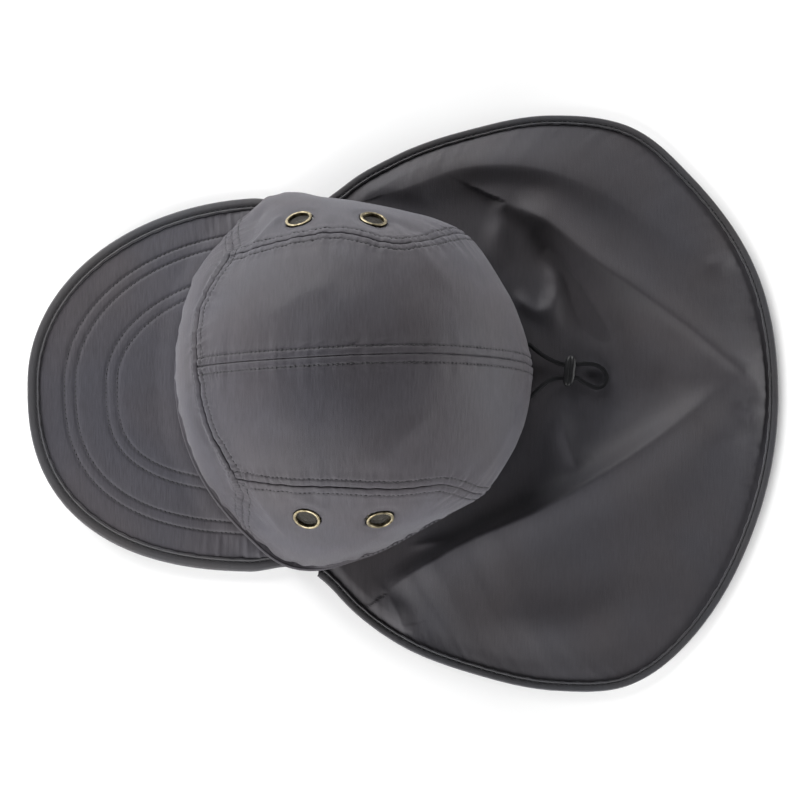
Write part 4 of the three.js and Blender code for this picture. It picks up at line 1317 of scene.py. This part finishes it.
flap_outline = Outline(flap_curve)
_, peak_tape_row = make_tape(
    "peak_tape", "peak_binding", peak_outline, height=PEAK_TAPE_HEIGHT, slot=PEAK_THICKNESS + 2 * FIT_GAP,
    row=4.7 * MM, lip=1.6 * MM, seed=41, pucker=0.05 * MM, steps=620,
)
flap_tape, flap_tape_row = make_tape(
    "flap_tape", "flap_binding", flap_outline, height=FLAP_TAPE_HEIGHT, slot=FLAP_THICKNESS + 2 * FIT_GAP,
    row=3.5 * MM, lip=1.2 * MM, seed=42, pucker=0.12 * MM, steps=900,
)


# Flap
FLAP_COLUMNS = 440
FLAP_LINES = 110
FOLD_SAMPLES = 160
FLAP_LUMP, FLAP_LUMP_SIZE = 0.8 * MM, 26 * MM
GATHER, GATHER_LENGTH, GATHER_REACH = 0.7 * MM, 7.5 * MM, 9 * MM
LONG_GATHER, LONG_GATHER_LENGTH, LONG_GATHER_REACH = 0.5 * MM, 21 * MM, 20 * MM
GATHERED_ANGLE = 16  # the gathers are fullest within this many degrees of +X


def fold_line(rows):
    """A fold's line in plan, and its other columns over the length of the line."""
    columns = np.array(rows, float).T
    degrees, out = columns[:2]
    plan = polar(mix(rim_radius(degrees), flap_radius(degrees), out), degrees)
    line = Line(spline(plan)(np.linspace(0, 1, FOLD_SAMPLES)))
    at = np.array([line.arc[np.argmin(np.linalg.norm(line.points - point, axis=1))] for point in plan])
    return line, [smooth_between(at, column * MM, line.arc) for column in columns[2:]]


def smooth_between(at, values, arc):
    """Values along a line that turn softly from one given place to the next."""
    share = np.interp(arc, at, np.arange(len(at)))
    before = np.minimum(share.astype(int), len(at) - 2)
    return mix(values[before], values[before + 1], smooth(0, 1, share - before))


def side_of(line, plan, arc):
    """1 where a point is on the same side of the line as the crown's centre, or else -1."""
    foot = line.at(arc)
    forward = line.at(np.clip(arc + 1 * MM, 0, line.length)) - line.at(np.clip(arc - 1 * MM, 0, line.length))
    beside = plan - foot
    turn = forward[:, 0] * beside[:, 1] - forward[:, 1] * beside[:, 0]
    crown = -forward[:, 0] * foot[:, 1] + forward[:, 1] * foot[:, 0]
    return np.where(turn * crown > 0, 1, -1)


def folds_at(plan, past_tape):
    """Height of the large folds: each drops towards the crown and runs straight down to the tape beyond."""
    total = np.zeros(len(plan))
    room = np.maximum(past_tape, 0)
    for row in FOLD_TABLE:
        line, (height, width) = fold_line(row["line"])
        away, arc = line.near(plan)
        slope = np.exp(-((away / np.interp(arc, line.arc, width)) ** row["sharp"]))
        near = slope * room / (room + CREST_STOP)
        far = room / (room + CREST_STOP + np.sqrt(away**2 + CREST_ROUND**2) - CREST_ROUND)
        profile = np.where(side_of(line, plan, arc) > 0, near, far)
        total += (np.interp(arc, line.arc, height) * profile) ** 3
    return np.cbrt(total)


def creases_at(plan):
    total = np.zeros(len(plan))
    for row in CREASE_TABLE:
        line, (height,) = fold_line(row["line"])
        away, arc = line.near(plan)
        width = np.where(side_of(line, plan, arc) > 0, row["near"], row["far"]) * MM
        total += np.interp(arc, line.arc, height) * np.exp(-((away / width) ** row["sharp"]))
    return total


def flap_relief(plan, past_rim, past_tape, arc):
    """Puckers where the cloth is gathered into the tape, and soft wrinkles all over."""
    x, y = plan[:, 0], plan[:, 1]
    open_cloth = smooth(2 * MM, 30 * MM, past_rim)
    height = FLAP_LUMP * open_cloth * lattice_noise(x, y, FLAP_LUMP_SIZE, 51) * smooth(0, 12 * MM, past_tape)
    gathers = smooth(-1 * MM, 3.5 * MM, past_tape) * bell(np.maximum(past_tape - 3 * MM, 0), GATHER_REACH)
    drawn = 0.3 + 0.8 * bell(angle_of(plan), GATHERED_ANGLE)
    uneven = drawn * (0.45 + 0.75 * np.abs(lattice_noise(arc, 0 * arc, 43 * MM, 52)))
    height += GATHER * gathers * uneven * ripple(arc, GATHER_LENGTH, 53)
    gathers = smooth(0, 8 * MM, past_tape) * bell(np.maximum(past_tape - 8 * MM, 0), LONG_GATHER_REACH)
    return height + LONG_GATHER * drawn * gathers * ripple(arc, LONG_GATHER_LENGTH, 54)


def make_flap():
    share = np.linspace(0, 1, FLAP_COLUMNS + 1)
    arcs = np.interp(share, OUTLINE_SHARES, flap_outline.line.arc)
    rear = rim_plan(mix(FLAP_FROM, FLAP_TO, share), FLAP_TUCK)
    plan, past_rim, past_tape = plate_grid(flap_outline, arcs, rear, FLAP_LINES, FLAP_TUCK)
    base = plate_height(FLAP_TAPE_HEIGHT, FLAP_THICKNESS, FLAP_SINK, past_rim, past_tape)
    from_cord, _ = Line(cord_line.points[:, :2]).near(plan)
    loose = smooth(*CORD_CLEAR, from_cord)
    open_fold = loose * smooth(0, FOLD_START, past_rim)
    open_crease = loose * smooth(1 * MM, 7 * MM, past_rim) * smooth(0, 6 * MM, past_tape)
    folds = open_fold * folds_at(plan, past_tape) + open_crease * creases_at(plan)
    relief = flap_relief(plan, past_rim, past_tape, np.repeat(arcs, FLAP_LINES + 1))
    lowest = FLAP_THICKNESS / 2 + 0.1 * MM
    height = np.maximum(base + folds + mix(0.2, 1, loose) * relief, lowest)
    piece = make_plate(
        "flap_sheet", plan, height + FLAP_THICKNESS / 2, FLAP_LINES, flap_cloth, FLAP_THICKNESS,
    )
    return place(piece, "flap_cloth", "neck_flap")


flap = make_flap()
make_stitches("tape_stitches", [peak_tape_row, flap_tape_row, hem_row], pitch=2.6 * MM, bow=0.15 * MM)


# Eyelets
EYELET_SIDES = 72


def lathe(profile, sides):
    """A ring turned about +Z from a closed profile of (radius, up)."""
    turn = np.linspace(0, 2 * np.pi, sides, endpoint=False)
    profile = np.array(profile)
    points = np.stack([
        profile[None, :, 0] * np.cos(turn)[:, None],
        profile[None, :, 0] * np.sin(turn)[:, None],
        np.repeat(profile[None, :, 1], sides, axis=0),
    ], axis=2)
    return points.reshape(-1, 3), sweep_faces(sides, len(profile), True)


def crown_frame(at):
    """The crown's point, and three axes with the third along its normal, at a point of the disc."""
    disc = np.array([at])
    centre = crown_surface(disc)[0]
    up = crown_normal(disc)[0]
    side = unit(np.cross((0, 0, 1), up))
    return centre, np.stack([side, np.cross(up, side), up])


def make_eyelet(name, node_name, at, size):
    """A rolled brass ring through the cloth, with a washer inside the crown."""
    bore, radius, flange = size["bore"], size["radius"], size["flange"]
    below = -CROWN_WALL - FIT_GAP - radius**2 / CROWN_REACH
    middle, half = (bore + radius) / 2, (radius - bore) / 2
    crest = FIT_GAP + flange
    profile = []
    for angle in np.linspace(math.pi, 0, 15):
        profile.append((middle + half * math.cos(angle), crest - half * 0.45 + half * 0.62 * math.sin(angle)))
    profile += [
        (radius - 0.15 * MM, 0.05 * MM),
        (bore + EYELET_WALL, 0.0),
        (bore + EYELET_WALL, below),
        (radius - 0.1 * MM, below),
        (radius, below - flange * 0.4),
        (radius - 0.2 * MM, below - flange * 0.8),
        (bore + 0.3 * MM, below - flange),
        (bore, below - flange * 0.7),
    ]
    points, faces = lathe(profile, EYELET_SIDES)
    centre, axes = crown_frame(at)
    piece = make_object(name, centre + points @ axes, faces, brass)
    outward(piece)
    return place(piece, "eyelet_brass", node_name)


SCREEN_PITCH = 0.62 * MM
WIRE_RADIUS = 0.13 * MM
WIRE_SIDES = 5
SCREEN_GAP = 0.1 * MM
SCREEN_DEPTH = 0.75 * MM


def make_screen(name, node_name, at):
    """A woven mesh across a vent: wires that pass over and under each other."""
    reach = VENT["bore"] - SCREEN_GAP
    count = int(reach / SCREEN_PITCH)
    parts = []
    for direction in (0, 1):
        for k in range(-count, count + 1):
            offset = k * SCREEN_PITCH
            half = math.sqrt(max(reach**2 - offset**2, 0))
            if half < SCREEN_PITCH:
                continue
            steps = max(6, int(2 * half / SCREEN_PITCH * 3))
            along = np.linspace(-half, half, steps + 1)
            over = WIRE_RADIUS * np.cos(np.pi * (along / SCREEN_PITCH + k + direction)) * 0.9
            beside = np.full(steps + 1, offset)
            line = np.stack([along, beside, over] if direction == 0 else [beside, along, over], axis=1)
            skin = tube_skin(line, WIRE_RADIUS, WIRE_SIDES).reshape(-1, 3)
            parts.append((skin, sweep_faces(steps, WIRE_SIDES, False)))
    points, faces = joined(parts)
    centre, axes = crown_frame(at)
    piece = make_object(name, centre + (points - (0, 0, SCREEN_DEPTH)) @ axes, faces, wire)
    return place(piece, "screen_mesh", node_name)


for side_name, at in VENTS_AT.items():
    make_eyelet("vent_" + side_name, "eyelet_" + side_name, at, VENT)
    make_screen("vent_screen_" + side_name, "screen_" + side_name, at)
for side_name, at in CORD_EYELETS_AT.items():
    make_eyelet("cord_eyelet_ring_" + side_name, "eyelet_cord_" + side_name, at, CORD_EYELET)


# Floor and light
FLOOR_HALF = 3.0


def add_floor():
    mesh = bpy.data.meshes.new("floor")
    corners = [(x * FLOOR_HALF, y * FLOOR_HALF, 0) for x, y in ((-1, -1), (1, -1), (1, 1), (-1, 1))]
    mesh.from_pydata(corners, [], [(0, 1, 2, 3)])
    material, _, shader = new_material("floor")
    shader.inputs["Base Color"].default_value = (0.95, 0.95, 0.95, 1)
    shader.inputs["Roughness"].default_value = 0.9
    mesh.materials.append(material)
    add_object("floor", mesh)


def add_light(name, azimuth, elevation, power, distance=1.4, width=1.6, height=0.76):
    """A soft wide light that faces the cap. azimuth is in degrees from +X towards +Y."""
    data = bpy.data.lights.new(name, "AREA")
    data.shape = "RECTANGLE"
    data.size = width
    data.size_y = height
    data.energy = power
    a, e = math.radians(azimuth), math.radians(elevation)
    back = Vector((math.cos(a) * math.cos(e), math.sin(a) * math.cos(e), math.sin(e)))
    aim(add_object(name, data), Vector((0, 0, 0)), back, distance)


def add_world(strength):
    world = bpy.data.worlds.new("studio")
    world.use_nodes = True
    background = world.node_tree.nodes["Background"]
    background.inputs["Color"].default_value = (1, 1, 1, 1)
    background.inputs["Strength"].default_value = strength
    bpy.context.scene.world = world


bpy.context.scene.view_settings.view_transform = "Standard"
add_floor()
add_world(0.085)
add_light("right_light", 0, 9, 26, height=0.34)
add_light("upper_light", 120, 19.5, 45)
add_light("lower_light", -121, 19.5, 44)
